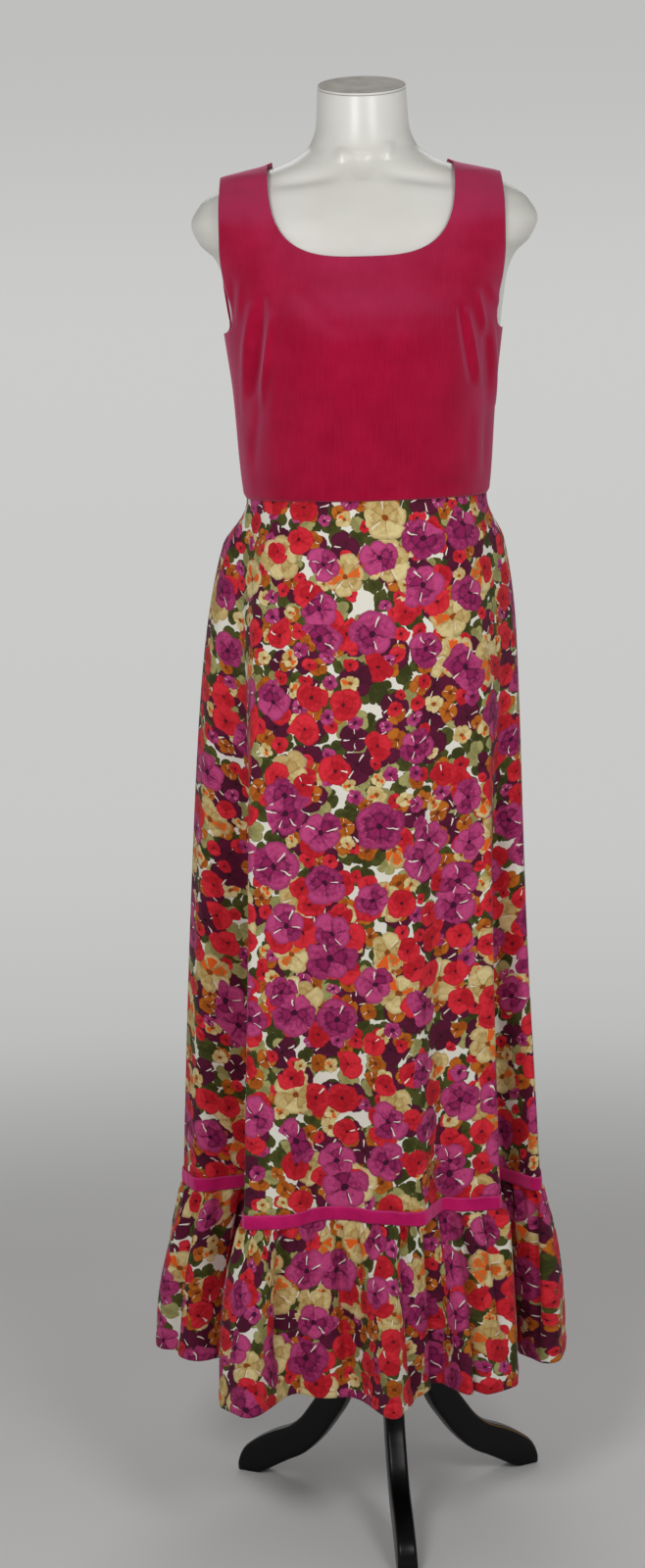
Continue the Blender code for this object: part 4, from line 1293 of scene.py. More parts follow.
def close_ends(piece: bpy.types.Object, sharp: bool) -> None:
    """Fills the open ends of a tube.

    Args:
        piece: The tube.
        sharp: Whether the edges round the ends are shaded sharp.
    """
    bm = bmesh.new()
    bm.from_mesh(piece.data)
    made = bmesh.ops.holes_fill(bm, edges=[edge for edge in bm.edges if edge.is_boundary])
    bmesh.ops.recalc_face_normals(bm, faces=bm.faces)
    ends = made["faces"] if sharp else []
    for edge in {edge for face in ends for edge in face.edges}:
        edge.smooth = False
    bm.to_mesh(piece.data)
    bm.free()


def even_cut(points: np.ndarray) -> np.ndarray:
    """Even places over a grid that has no cut of its own.

    Args:
        points: The grid's points.

    Returns:
        Places from 0 to 1 across and down.
    """
    rows, columns = points.shape[:2]
    return np.stack(np.meshgrid(np.linspace(0, 1, columns), np.linspace(0, 1, rows)), axis=-1)


@dataclass(frozen=True)
class Crease:
    """A soft trough or ridge from (x1, z1) to (x2, z2), in millimetres. A depth below 0 is a ridge."""

    x1: float
    z1: float
    x2: float
    z2: float
    width: float
    depth: float

    def lift(self, points: np.ndarray) -> np.ndarray:
        """Lift of the cloth.

        Args:
            points: Points in millimetres from the pole's axis.

        Returns:
            Lift at each point, in millimetres.
        """
        start, end = np.array((self.x1, self.z1)), np.array((self.x2, self.z2))
        run = end - start
        away = points[:, (0, 2)] - start
        share = away @ run / (run @ run)
        across = np.linalg.norm(away - np.clip(share, 0, 1)[:, None] * run, axis=1)
        taper = np.sin(np.pi * np.clip(share * 0.94 + 0.03, 0, 1)) ** 0.7
        return -self.depth * taper * np.exp(-((across / self.width) ** 2))


def crease_lift(creases: Sequence[Crease], points: np.ndarray) -> np.ndarray:
    """Lift of all creases together."""
    return sum(crease.lift(points) for crease in creases)


def lengths_across(points: np.ndarray, start: int) -> np.ndarray:
    """Distance along each row of a grid.

    Args:
        points: The grid's points, in millimetres.
        start: Column that it is counted from.

    Returns:
        Metres, negative before that column.
    """
    steps = np.linalg.norm(np.diff(points, axis=1), axis=2)
    run = np.hstack([np.zeros((len(points), 1)), np.cumsum(steps, axis=1)])
    return (run - run[:, start : start + 1]) * MM


def lengths_down(points: np.ndarray) -> np.ndarray:
    """Distance down each column of a grid, in metres, negative."""
    steps = np.linalg.norm(np.diff(points, axis=0), axis=2)
    return -np.vstack([np.zeros((1, points.shape[1])), np.cumsum(steps, axis=0)]) * MM


def space_over_form(points: np.ndarray) -> np.ndarray:
    """Space between points and the form.

    Args:
        points: Points in millimetres from the pole's axis.

    Returns:
        Millimetres to the form's surface.
    """
    table = np.array(FORM_SECTIONS, float)
    rows = Curve(table[:, 0], table[:, 1:])(points[:, 2])
    depth = np.where(points[:, 1] < 0, rows[:, 1], rows[:, 2])
    x, y = points[:, 0] / rows[:, 0], points[:, 1] / depth
    reach = np.hypot(x, y)
    return reach * (reach - 1) / np.hypot(x / rows[:, 0], y / depth)


@dataclass
class Columns:
    """Columns of a bodice panel from its left to its right.

    line holds their places on the underarm row and low their heights there. top holds the heights of the
    neckline and across the places across a strap, with not-a-number where they don't apply.
    """

    line: np.ndarray
    low: np.ndarray
    top: np.ndarray
    across: np.ndarray

    def chosen(self, mask: np.ndarray) -> "Columns":
        """Some of the columns."""
        return Columns(self.line[mask], self.low[mask], self.top[mask], self.across[mask])


@dataclass
class Bodice:
    """Velveteen bodice: a front and two backs, with a scooped neck and wide straps."""

    finish: bpy.types.Material
    thickness: float = 1.5
    neck_columns: int = 44
    strap_columns: int = 30
    side_columns: int = 14
    lower_rows: int = 84
    middle_rows: int = 36
    strap_rows: int = 40
    strap_top: float = 1476.0
    swell: float = 0.35
    waist_turn: float = 0.7
    proud: float = 0.4
    shape: BodiceShape = field(default_factory=BodiceShape)

    FRONT_CREASES = (
        Crease(-108, 1354, -121, 1250, 5.2, 7.5),
        Crease(-99, 1336, -112, 1240, 3.6, -3.4),
        Crease(-120, 1346, -134, 1236, 4.4, -5.0),
        Crease(-127, 1300, -138, 1220, 3.4, 2.0),
        Crease(-113, 1262, -124, 1170, 5.0, 2.0),
        Crease(-130, 1222, -124, 1150, 5.0, -1.8),
        Crease(-97, 1290, -103, 1205, 8.0, -1.0),
        Crease(-138, 1372, -143, 1318, 4.0, 2.4),
        Crease(-131, 1368, -134, 1326, 4.0, -1.8),
        Crease(94, 1342, 106, 1262, 3.6, 3.8),
        Crease(101, 1336, 114, 1258, 4.0, -3.8),
        Crease(113, 1356, 122, 1306, 3.6, -3.2),
        Crease(121, 1318, 124, 1232, 3.4, 3.6),
        Crease(129, 1324, 132, 1236, 3.6, -4.2),
        Crease(124, 1236, 120, 1160, 4.4, 2.4),
        Crease(113, 1240, 111, 1158, 6.0, -1.4),
        Crease(126, 1362, 137, 1338, 4.5, -2.0),
        Crease(-78, 1362, -40, 1328, 9.0, 0.9),
        Crease(-60, 1338, -22, 1312, 8.0, 0.6),
        Crease(52, 1358, 84, 1333, 9.0, 0.7),
        Crease(-122, 1462, -112, 1405, 9.0, -1.2),
        Crease(-134, 1470, -106, 1452, 7.0, 1.0),
        Crease(122, 1460, 114, 1408, 9.0, -1.1),
        Crease(-50, 1155, 40, 1149, 5.0, 0.8),
        Crease(58, 1162, 104, 1151, 5.0, 0.9),
        Crease(-112, 1160, -70, 1150, 5.0, 0.7),
    )
    BACK_CREASES = (
        Crease(-70, 1290, -62, 1180, 7.0, 2.2),
        Crease(-80, 1250, -74, 1160, 8.0, -1.4),
        Crease(66, 1302, 60, 1196, 7.5, 1.9),
        Crease(82, 1262, 74, 1158, 8.0, -1.5),
        Crease(-118, 1300, -104, 1230, 8.0, 1.2),
        Crease(116, 1310, 100, 1238, 9.0, 1.4),
        Crease(-30, 1215, -96, 1196, 10.0, 0.9),
        Crease(24, 1238, 88, 1214, 9.0, 0.8),
        Crease(-20, 1172, -70, 1160, 8.0, 0.8),
        Crease(18, 1180, 62, 1164, 8.0, 0.7),
        Crease(-110, 1400, -60, 1380, 14.0, -1.0),
        Crease(104, 1404, 58, 1378, 14.0, -0.9),
    )

    def half_line(self, side: Side) -> tuple:
        """Columns of half a panel from the middle outwards.

        Args:
            side: Front or back.

        Returns:
            Places on the underarm row, heights of the neckline, and places across the strap. The last two
            hold not-a-number where they don't apply.
        """
        turns = np.linspace(math.pi / 2, self.shape.STRAP_TURN, self.neck_columns + 1)[:-1]
        x, top = self.shape.neck_edge(turns, side)
        across = np.linspace(0, 1, self.strap_columns)
        inner = float(self.shape.strap_inner(np.array(UNDERARM_Z), side))
        arm = float(self.shape.strap_outer(np.array(UNDERARM_Z), side))
        outer = float(self.shape.half(np.array(UNDERARM_Z)))
        lean = np.linspace(math.asin(arm / outer), math.pi / 2, self.side_columns + 1)[1:]
        places = np.concatenate([x, inner + across * (arm - inner), outer * np.sin(lean)])
        blank = np.full(self.side_columns, np.nan)
        tops = np.concatenate([top, np.full(self.strap_columns, np.nan), blank])
        straps = np.concatenate([np.full(self.neck_columns, np.nan), across, blank])
        return places, tops, straps

    def strap_x(self, sign: np.ndarray, across: np.ndarray, z: np.ndarray, side: Side) -> np.ndarray:
        """Place of a strap's column at a height."""
        inner = self.shape.strap_inner(z, side)
        return sign * (inner + across * (self.shape.strap_outer(z, side) - inner))

    def patch(self, x: np.ndarray, z: np.ndarray, side: Side) -> Patch:
        """Grid of the surface, with its places on the cut.

        Args:
            x: Distances from the middle line.
            z: Heights.
            side: Front or back.

        Returns:
            The grid.
        """
        points = self.shape.surface(x, z, side)
        middle = int(np.argmin(np.abs(x[0])))
        across = lengths_across(points, middle) + x[:, middle : middle + 1] * MM
        return Patch(points, np.stack([across, z * MM], axis=-1))

    def columns(self, side: Side, signs: Sequence[int]) -> Columns:
        """Columns of a panel.

        Args:
            side: Front or back.
            signs: -1 for the left half, 1 for the right half, or both.

        Returns:
            The columns. Those of a single half stop at the zip.
        """
        places, tops, straps = self.half_line(side)
        if len(signs) == 2:
            line = np.concatenate([-places[::-1], places[1:]])
            tops = np.concatenate([tops[::-1], tops[1:]])
            straps = np.concatenate([straps[::-1], straps[1:]])
        else:
            line = signs[0] * np.maximum(places, ZIP_HALF)
        return Columns(line, self.shape.low_edge(line, side), tops, straps)

    def lower_grid(self, columns: Columns) -> tuple:
        """Grid from the waist up to the underarm row.

        Args:
            columns: The panel's columns.

        Returns:
            Distances from the middle line, and heights.
        """
        outer = float(self.shape.half(np.array(UNDERARM_Z)))
        rise = np.linspace(0, 1, self.lower_rows + 1)[:, None]
        z = BODICE_FOOT_Z + (columns.low - BODICE_FOOT_Z) * rise
        return columns.line / outer * self.shape.half(z), z

    def strap_foot(self, side: Side) -> float:
        """Height of the neckline where the straps begin."""
        return float(self.shape.neck_edge(np.array(self.shape.STRAP_TURN), side)[1])

    def middle_grid(self, columns: Columns, begin: np.ndarray, side: Side) -> tuple:
        """Grid from the underarm row up to the neckline and the feet of the straps.

        Args:
            columns: The columns that go on above the underarm row.
            begin: Their distances from the middle line at that row.
            side: Front or back.

        Returns:
            Distances from the middle line, and heights.
        """
        end = np.where(np.isnan(columns.top), self.strap_foot(side), columns.top)
        rise = np.linspace(0, 1, self.middle_rows + 1)[:, None]
        z = columns.low + (end - columns.low) * rise
        strap = self.strap_x(np.sign(columns.line), np.nan_to_num(columns.across), z, side)
        drawn = np.where(np.isnan(columns.across), columns.line, strap)
        return drawn + (begin - drawn[0]) * (1 - rise) ** 2, z

    def strap_grid(self, sign: int, across: np.ndarray, side: Side) -> tuple:
        """Grid of one strap, up to the shoulder seam.

        Args:
            sign: -1 for the left strap, 1 for the right one.
            across: Places across it, 0 at its inner edge.
            side: Front or back.

        Returns:
            Distances from the middle line, and heights.
        """
        inner = self.shape.NECK_HALF[side]
        far = float(self.shape.strap_outer(np.array(self.strap_top), side))
        end = self.shape.shoulder(inner + across * (far - inner))
        foot = self.strap_foot(side)
        rise = np.sin(np.linspace(0, math.pi / 2, self.strap_rows + 1))[:, None]
        z = foot + (end - foot) * rise
        return self.strap_x(sign, across, z, side), z

    def panel(self, name: str, side: Side, signs: Sequence[int], node: str) -> bpy.types.Object:
        """Builds one panel.

        Args:
            name: Name of the piece.
            side: Front or back.
            signs: -1 for the left half, 1 for the right half, or both.
            node: The CAD node that it stands for.

        Returns:
            The piece.
        """
        columns = self.columns(side, signs)
        x, z = self.lower_grid(columns)
        patches = [self.patch(x, z, side)]
        kept = ~(np.isnan(columns.top) & np.isnan(columns.across))
        above = columns.chosen(kept)
        patches.append(self.patch(*self.middle_grid(above, x[-1][kept], side), side))
        for sign in signs:
            strip = ~np.isnan(above.across) & (np.sign(above.line) == sign)
            patches.append(self.patch(*self.strap_grid(sign, above.across[strip], side), side))
        creases = self.FRONT_CREASES if side is Side.FRONT else self.BACK_CREASES

        def relief(points: np.ndarray, _cut: np.ndarray) -> np.ndarray:
            """Creases, a soft swell between them and the turned edge at the waist.

            Args:
                points: Points in millimetres from the pole's axis.
                _cut: Their places on the cut, which make no difference here.

            Returns:
                Lift at each point, held clear of the form.
            """
            x, z = points[:, 0], points[:, 2]
            wave = np.sin(x / 23 + z / 41) * np.sin(z / 29 - x / 57)
            turn = self.waist_turn * np.exp(-(((z - WAIST_Z - 3) / 4) ** 2))
            lift = crease_lift(creases, points) + self.swell * wave + turn + self.proud
            room = np.maximum(0.1, space_over_form(points) - self.thickness - self.proud)
            return np.where(lift < 0, -room * np.tanh(-lift / room), lift)

        piece = mapped_grids(name, patches, relief)
        finish_sheet(piece, self.finish, self.thickness, "velveteen", node)
        return piece

    def build(self) -> list:
        """Builds the three panels.

        Returns:
            The front and the two backs.
        """
        return [
            self.panel("bodice_front_velveteen", Side.FRONT, (-1, 1), "bodice_front"),
            self.panel("bodice_back_left_velveteen", Side.BACK, (-1,), "bodice_back_left"),
            self.panel("bodice_back_right_velveteen", Side.BACK, (1,), "bodice_back_right"),
        ]


@dataclass
class Skirt:
    """Printed skirt in three panels, its gathered flounce and the ribbon over their seam."""

    cotton: bpy.types.Material
    velvet: bpy.types.Material
    cotton_wall: float = 1.1
    ribbon_wall: float = 1.0
    space: float = 3.4
    row_space: float = 7.0
    pucker_reach: float = 16.0
    flounce_columns: int = 330
    flounce_rows: int = 58
    row_bunching: float = 1.15
    flounce_pucker_reach: float = 12.0
    cut_drop: float = 0.83
    gather_seed: int = 11
    gather_count: int = 78
    hem_depth: float = 14.0
    ribbon_columns: int = 560
    ribbon_rows: int = 9
    shape: SkirtShape = field(default_factory=SkirtShape)

    SKIRT_CREASES = (
        Crease(-118, 1128, -126, 1040, 6.0, 1.6),
        Crease(-104, 1132, -112, 1060, 7.0, -1.2),
        Crease(108, 1126, 116, 1030, 6.0, 1.5),
        Crease(94, 1130, 98, 1064, 7.0, -1.0),
        Crease(-60, 1126, -66, 1050, 9.0, 0.8),
        Crease(30, 1128, 26, 1040, 10.0, 0.7),
        Crease(-128, 900, -136, 700, 8.0, -1.4),
        Crease(112, 860, 112, 640, 8.0, -1.2),
        Crease(-20, 760, -34, 560, 14.0, 1.2),
        Crease(70, 700, 66, 500, 12.0, 1.4),
    )

    # Narrow valleys of the flounce: place among the folds, half width, depth, lean and reach below the seam
    VALLEYS = (
        (0.9, 5, 15, 0.03, 240),
        (1.8, 4.4, 12, -0.05, 190),
        (2.9, 5.2, 15, 0.02, 240),
        (3.8, 4.2, 11, 0.04, 180),
        (4.9, 5, 14, -0.03, 230),
        (5.8, 7.5, 18, 0, 270),
        (7.9, 4.4, 12, -0.03, 180),
        (9.1, 4.2, 12, 0.02, 200),
        (10.35, 3.8, 11, 0.04, 220),
        (11.1, 4, 12, 0, 230),
        (12.55, 5.4, 19, 0, 270),
        (13.5, 4.2, 11, 0.03, 170),
        (14.9, 7, 18, 0, 270),
        (15.8, 4.4, 12, -0.03, 200),
        (16.8, 4.8, 14, 0.04, 230),
        (17.7, 4.4, 12, -0.02, 190),
        (18.9, 5.4, 16, 0.02, 250),
        (19.8, 4.6, 12, -0.04, 200),
        (20.5, 5, 15, 0.03, 240),
    )

    def pucker(self, u: np.ndarray) -> np.ndarray:
        """Small uneven waves where the ribbon holds the cloth.

        Args:
            u: Places round the skirt.

        Returns:
            Their lift, in millimetres.
        """
        run = self.shape.around(u)
        slow = 0.6 + 0.4 * np.sin(run / 61 + 1.3)
        fine = 0.55 * np.sin(run / 5.1) + 0.35 * np.sin(run / 2.9 + 2.0)
        return slow * (fine + 0.5 * np.sin(run / 8.7 + 0.6))

    def skirt_panel(self, name: str, start: float, end: float, middle: float, node: str) -> bpy.types.Object:
        """Builds one panel of the skirt.

        Args:
            name: Name of the piece.
            start: Seam where it begins.
            end: Seam where it ends.
            middle: Place of the thread line, where the cut's width is counted from.
            node: The CAD node that it stands for.

        Returns:
            The piece.
        """
        run = float(self.shape.around(np.array(end)) - self.shape.around(np.array(start)))
        u = self.shape.even_places(start, end, round(run / self.space), 0.0)
        low = RIBBON_Z + SEAM_HALF
        heights = np.linspace(SKIRT_TOP_Z, low, round((SKIRT_TOP_Z - low) / self.row_space))
        grid_u, grid_z = np.meshgrid(u, heights)
        points = self.shape.skirt(grid_u, grid_z)
        self.set_back(points, start, end)
        column = int(np.argmin(np.abs(u - middle)))
        cut = np.stack([lengths_across(points, column), lengths_down(points)], axis=-1)
        lift = self.pucker(u) * np.exp(-(heights[:, None] - RIBBON_Z) / self.pucker_reach)
        front = start == LEFT_SEAM

        def relief(places: np.ndarray, _flat: np.ndarray) -> np.ndarray:
            """Puckers over the ribbon, and creases in front.

            Args:
                places: Points in millimetres from the pole's axis.
                _flat: Their places on the cut, which make no difference here.

            Returns:
                Lift at each point.
            """
            added = lift.ravel()
            if front:
                added = added + crease_lift(self.SKIRT_CREASES, places) * ease((WAIST_Z - places[:, 2]) / 12)
            return added

        piece = mapped_grids(name, [Patch(points, cut)], relief)
        finish_sheet(piece, self.cotton, self.cotton_wall, "printed_cotton", node)
        return piece

    def set_back(self, points: np.ndarray, start: float, end: float) -> None:
        """Moves the ends of each row back from the seam or the zip, along the row.

        Args:
            points: The grid's points, which are changed.
            start: Seam where it begins.
            end: Seam where it ends.
        """
        for index, neighbour, seam in ((0, 1, start), (-1, -2, end)):
            ahead = points[:, neighbour] - points[:, index]
            ahead /= np.linalg.norm(ahead, axis=1)[:, None]
            at_zip = (seam % FOLD_COUNT == 0) & (points[:, index, 2] > ZIP_END_Z)
            points[:, index] += ahead * np.where(at_zip, ZIP_HALF, SEAM_HALF)[:, None]

    def gathers(self, run: np.ndarray, drop: np.ndarray, total: float) -> np.ndarray:
        """Lift of the gathers below the ribbon, in millimetres.

        Args:
            run: Distances along the seam.
            drop: Distances below it.
            total: Length of the whole seam.

        Returns:
            Lift at each place.
        """
        draw = random.Random(self.gather_seed)
        lift = np.zeros(run.shape)
        for index in range(self.gather_count):
            centre = (index + draw.uniform(-0.36, 0.36)) * total / self.gather_count
            width = draw.uniform(3.0, 5.4)
            height = draw.uniform(3.8, 8.6)
            reach = draw.choice((30.0, 46.0, 70.0, 120.0, 190.0)) * draw.uniform(0.8, 1.2)
            lean = draw.uniform(-0.10, 0.10)
            away = (run - centre - lean * drop + total / 2) % total - total / 2
            spread = width * (1 + drop / 34.0)
            rise = ease(drop / 5.0) * np.exp(-((drop / reach) ** 1.5))
            lift += height * rise * np.exp(-((away / spread) ** 2))
        for place, width, depth, lean, reach in self.VALLEYS:
            centre = float(self.shape.around(np.array(place)))
            away = (run - centre - lean * drop + total / 2) % total - total / 2
            rise = ease(drop / 8.0) * ease((reach - drop) / 70.0)
            lift -= depth * rise * np.exp(-((away / width) ** 2))
        return lift - 1.6 * ease(drop / 5.0) * np.exp(-drop / 40.0)

    def turned_hem(self, run: np.ndarray, height: np.ndarray) -> np.ndarray:
        """Lift of the turned hem, with its stitched line and small waves.

        Args:
            run: Distances along the seam.
            height: Heights above the edge.

        Returns:
            Lift at each place, in millimetres.
        """
        turned = 0.7 * ease((self.hem_depth - height) / 1.6)
        stitched = 0.5 * np.exp(-(((height - self.hem_depth + 0.8) / 1.2) ** 2))
        waves = 0.5 * np.sin(run / 6.3 + height / 9) * ease((self.hem_depth + 10 - height) / 12)
        return turned - stitched + waves

    def flounce_panel(self, name: str, start: float, end: float, node: str) -> bpy.types.Object:
        """Builds half of the flounce.

        Args:
            name: Name of the piece.
            start: Side seam where it begins.
            end: Side seam where it ends.
            node: The CAD node that it stands for.

        Returns:
            The piece.
        """
        u = self.shape.even_places(start, end, self.flounce_columns, 0.5)
        top = -(RIBBON_HALF - SEAM_HALF) * MM
        t = np.concatenate([[top, top / 2], np.linspace(0, 1, self.flounce_rows) ** self.row_bunching])
        grid_u, grid_t = np.meshgrid(u, t)
        points = self.shape.flounce(grid_u, grid_t)
        self.set_back(points, start, end)
        hem_run = lengths_across(points, len(u) // 2)[-1]
        across = np.broadcast_to(hem_run, grid_u.shape)
        cut = np.stack([across, lengths_down(points) - self.cut_drop], axis=-1)
        drop = np.maximum(0.0, points[2:3, :, 2] - points[:, :, 2])
        total = float(self.shape.around(np.array(float(FOLD_COUNT))))
        run = np.broadcast_to(self.shape.around(u), grid_u.shape)
        lift = self.gathers(run, drop, total) + self.pucker(u) * np.exp(-drop / self.flounce_pucker_reach)
        height = points[:, :, 2] - points[-1:, :, 2]
        lift = (lift + self.turned_hem(run, height)).ravel()

        def relief(_places: np.ndarray, _flat: np.ndarray) -> np.ndarray:
            """Gathers and the turned hem."""
            return lift

        piece = mapped_grids(name, [Patch(points, cut)], relief)
        finish_sheet(piece, self.cotton, self.cotton_wall, "printed_cotton", node)
        return piece

    def ribbon(self) -> bpy.types.Object:
        """Builds the velvet ribbon.

        Returns:
            The piece.
        """
        u = self.shape.even_places(0.0, float(FOLD_COUNT), self.ribbon_columns, 0.0)
        rows = np.linspace(-1, 1, self.ribbon_rows)
        grid_u, grid_v = np.meshgrid(u, rows)
        run = self.shape.around(grid_u)
        wander = 0.35 * np.sin(run / 17) + 0.25 * np.sin(run / 7.3 + 1)
        points = self.shape.skirt(grid_u, RIBBON_Z - grid_v * (RIBBON_HALF - 0.3) + wander)
        points[:, -1] = points[:, 0]
        cut = np.stack([run * MM, grid_v * RIBBON_HALF * MM], axis=-1)
        crown = 1.75 + 0.45 * (1 - grid_v**2)
        lift = np.broadcast_to(self.pucker(u), grid_u.shape) * 0.8 + crown
        lift = lift + 0.22 * grid_v * np.sin(run / 3.7)
        closed = lift[:, :-1]

        def relief(places: np.ndarray, _flat: np.ndarray) -> np.ndarray:
            """Lift of the ribbon off the cloth, where its ends are one."""
            return closed.ravel() if len(places) == closed.size else lift.ravel()

        piece = mapped_grids("ribbon_velvet", [Patch(points, cut)], relief)
        finish_sheet(piece, self.velvet, self.ribbon_wall, "velvet_ribbon", "ribbon")
        return piece

    def build(self) -> list:
        """Builds the skirt, the flounce and the ribbon.

        Returns:
            Their pieces, from the top down.
        """
        count = float(FOLD_COUNT)
        return [
            self.skirt_panel("skirt_front_cotton", LEFT_SEAM, RIGHT_SEAM, FRONT_MIDDLE, "skirt_front"),
            self.skirt_panel("skirt_back_left_cotton", 0.0, LEFT_SEAM, 0.0, "skirt_back_left"),
            self.skirt_panel("skirt_back_right_cotton", RIGHT_SEAM, count, count, "skirt_back_right"),
            self.flounce_panel("flounce_front_cotton", LEFT_SEAM, RIGHT_SEAM, "flounce_front"),
            self.flounce_panel("flounce_back_cotton", RIGHT_SEAM, LEFT_SEAM + count, "flounce_back"),
            self.ribbon(),
        ]


@dataclass
class DressForm:
    """Torso of the form with its neck cap."""

    shell: bpy.types.Material
    cap: bpy.types.Material
    turns: int = 144
    foot: float = 860.0
    chest_top: float = 1370.0
    neck_foot: float = 1530.0
    chest_rows: int = 70
    upper_rows: int = 80
    neck_rows: int = 8
    neck_top: float = 1565.6
    tilt: float = math.radians(14.5)
    flat_from: float = 0.55

    COLLARBONES = (
        Crease(-104, 1467, -24, 1476, 7.0, 4.6),
        Crease(18, 1476, 100, 1465, 7.0, 4.6),
        Crease(-25, 1488, -21, 1502, 6.0, -2.6),
        Crease(24, 1490, 26, 1508, 6.0, -2.6),
        Crease(-3, 1470, 0, 1496, 9.0, 3.4),
        Crease(0, 1440, 0, 1320, 14.0, 1.8),
        Crease(-30, 1512, -16, 1490, 5.0, -1.2),
        Crease(34, 1520, 18, 1492, 5.0, -1.2),
    )

    # Lift off the rim and distance in from its edge, for each loop of the cap's outline
    CAP_LOOPS = ((0.3, 1.2), (0.5, 0.5), (0.9, 0.2), (2.2, 0.2), (2.8, 0.4), (3.0, 1.2))

    def rim(self, turn: np.ndarray, lift: float = 0.0, inset: float = 0.0) -> np.ndarray:
        """Points of the neck's sloping rim.

        Args:
            turn: Turns from the centre front, in radians.
            lift: Distance off the rim, in millimetres.
            inset: Distance in from its edge.

        Returns:
            One point for each turn.
        """
        half, front, back = FORM_SECTIONS[-1][1:]
        depth = np.where(np.cos(turn) > 0, front, back) - inset
        y = -depth * np.cos(turn)
        z = self.neck_top + y * math.tan(self.tilt) + lift
        return np.stack([(half - inset) * np.sin(turn), y - lift * math.sin(self.tilt), z], axis=-1)

    def tube(self, name: str, points: np.ndarray, relief: Optional[Relief] = None) -> bpy.types.Object:
        """Builds a tube with closed ends.

        Args:
            name: Name of the piece.
            points: Its grid, of which the last column is the first.
            relief: Gives the lift in millimetres.

        Returns:
            The piece.
        """
        points[:, -1] = points[:, 0]
        piece = mapped_grids(name, [Patch(points, even_cut(points))], relief)
        close_ends(piece, sharp=True)
        return piece

    def torso(self, turn: np.ndarray) -> None:
        """Builds the torso and its neck, up to the sloping rim.

        Args:
            turn: Turns of its columns.
        """
        table = np.array(FORM_SECTIONS, float)
        lower = np.linspace(self.foot, self.chest_top, self.chest_rows)[:-1]
        heights = np.concatenate([lower, np.linspace(self.chest_top, self.neck_foot, self.upper_rows)])
        rows = Curve(table[:, 0], table[:, 1:])(heights)
        depth = np.where(np.cos(turn) > 0, rows[:, 1:2], rows[:, 2:3])
        x = rows[:, 0:1] * np.sin(turn)
        points = np.stack([x, -depth * np.cos(turn), np.broadcast_to(heights[:, None], x.shape)], axis=-1)
        rise = self.rim(turn) - points[-1]
        neck = [points[-1] + rise * share for share in np.linspace(0, 1, self.neck_rows + 1)[1:]]

        def relief(places: np.ndarray, _flat: np.ndarray) -> np.ndarray:
            """Collarbones and the hollows round them, in front."""
            return crease_lift(self.COLLARBONES, places) * ease(-places[:, 1] / 30)

        piece = self.tube("form_shell", np.concatenate([points, np.array(neck)]), relief)
        piece.data.materials.append(self.shell)
        declare(piece, "form_gloss", "form_torso")

    def neck_cap(self, turn: np.ndarray) -> None:
        """Builds the cap, grey on top and like the shell on its edge.

        Args:
            turn: Turns of its columns.
        """
        rings = np.array([self.rim(turn, lift, inset) for lift, inset in self.CAP_LOOPS])
        piece = self.tube("neck_cap_plate", rings)
        piece.data.materials.append(self.cap)
        piece.data.materials.append(self.shell)
        for face in piece.data.polygons:
            face.material_index = 0 if face.normal.z > self.flat_from else 1
        declare(piece, "cap_grey", "neck_cap")

    def build(self) -> None:
        """Builds the torso and the cap."""
        turn = np.linspace(0, math.tau, self.turns + 1)
        self.torso(turn)
        self.neck_cap(turn)


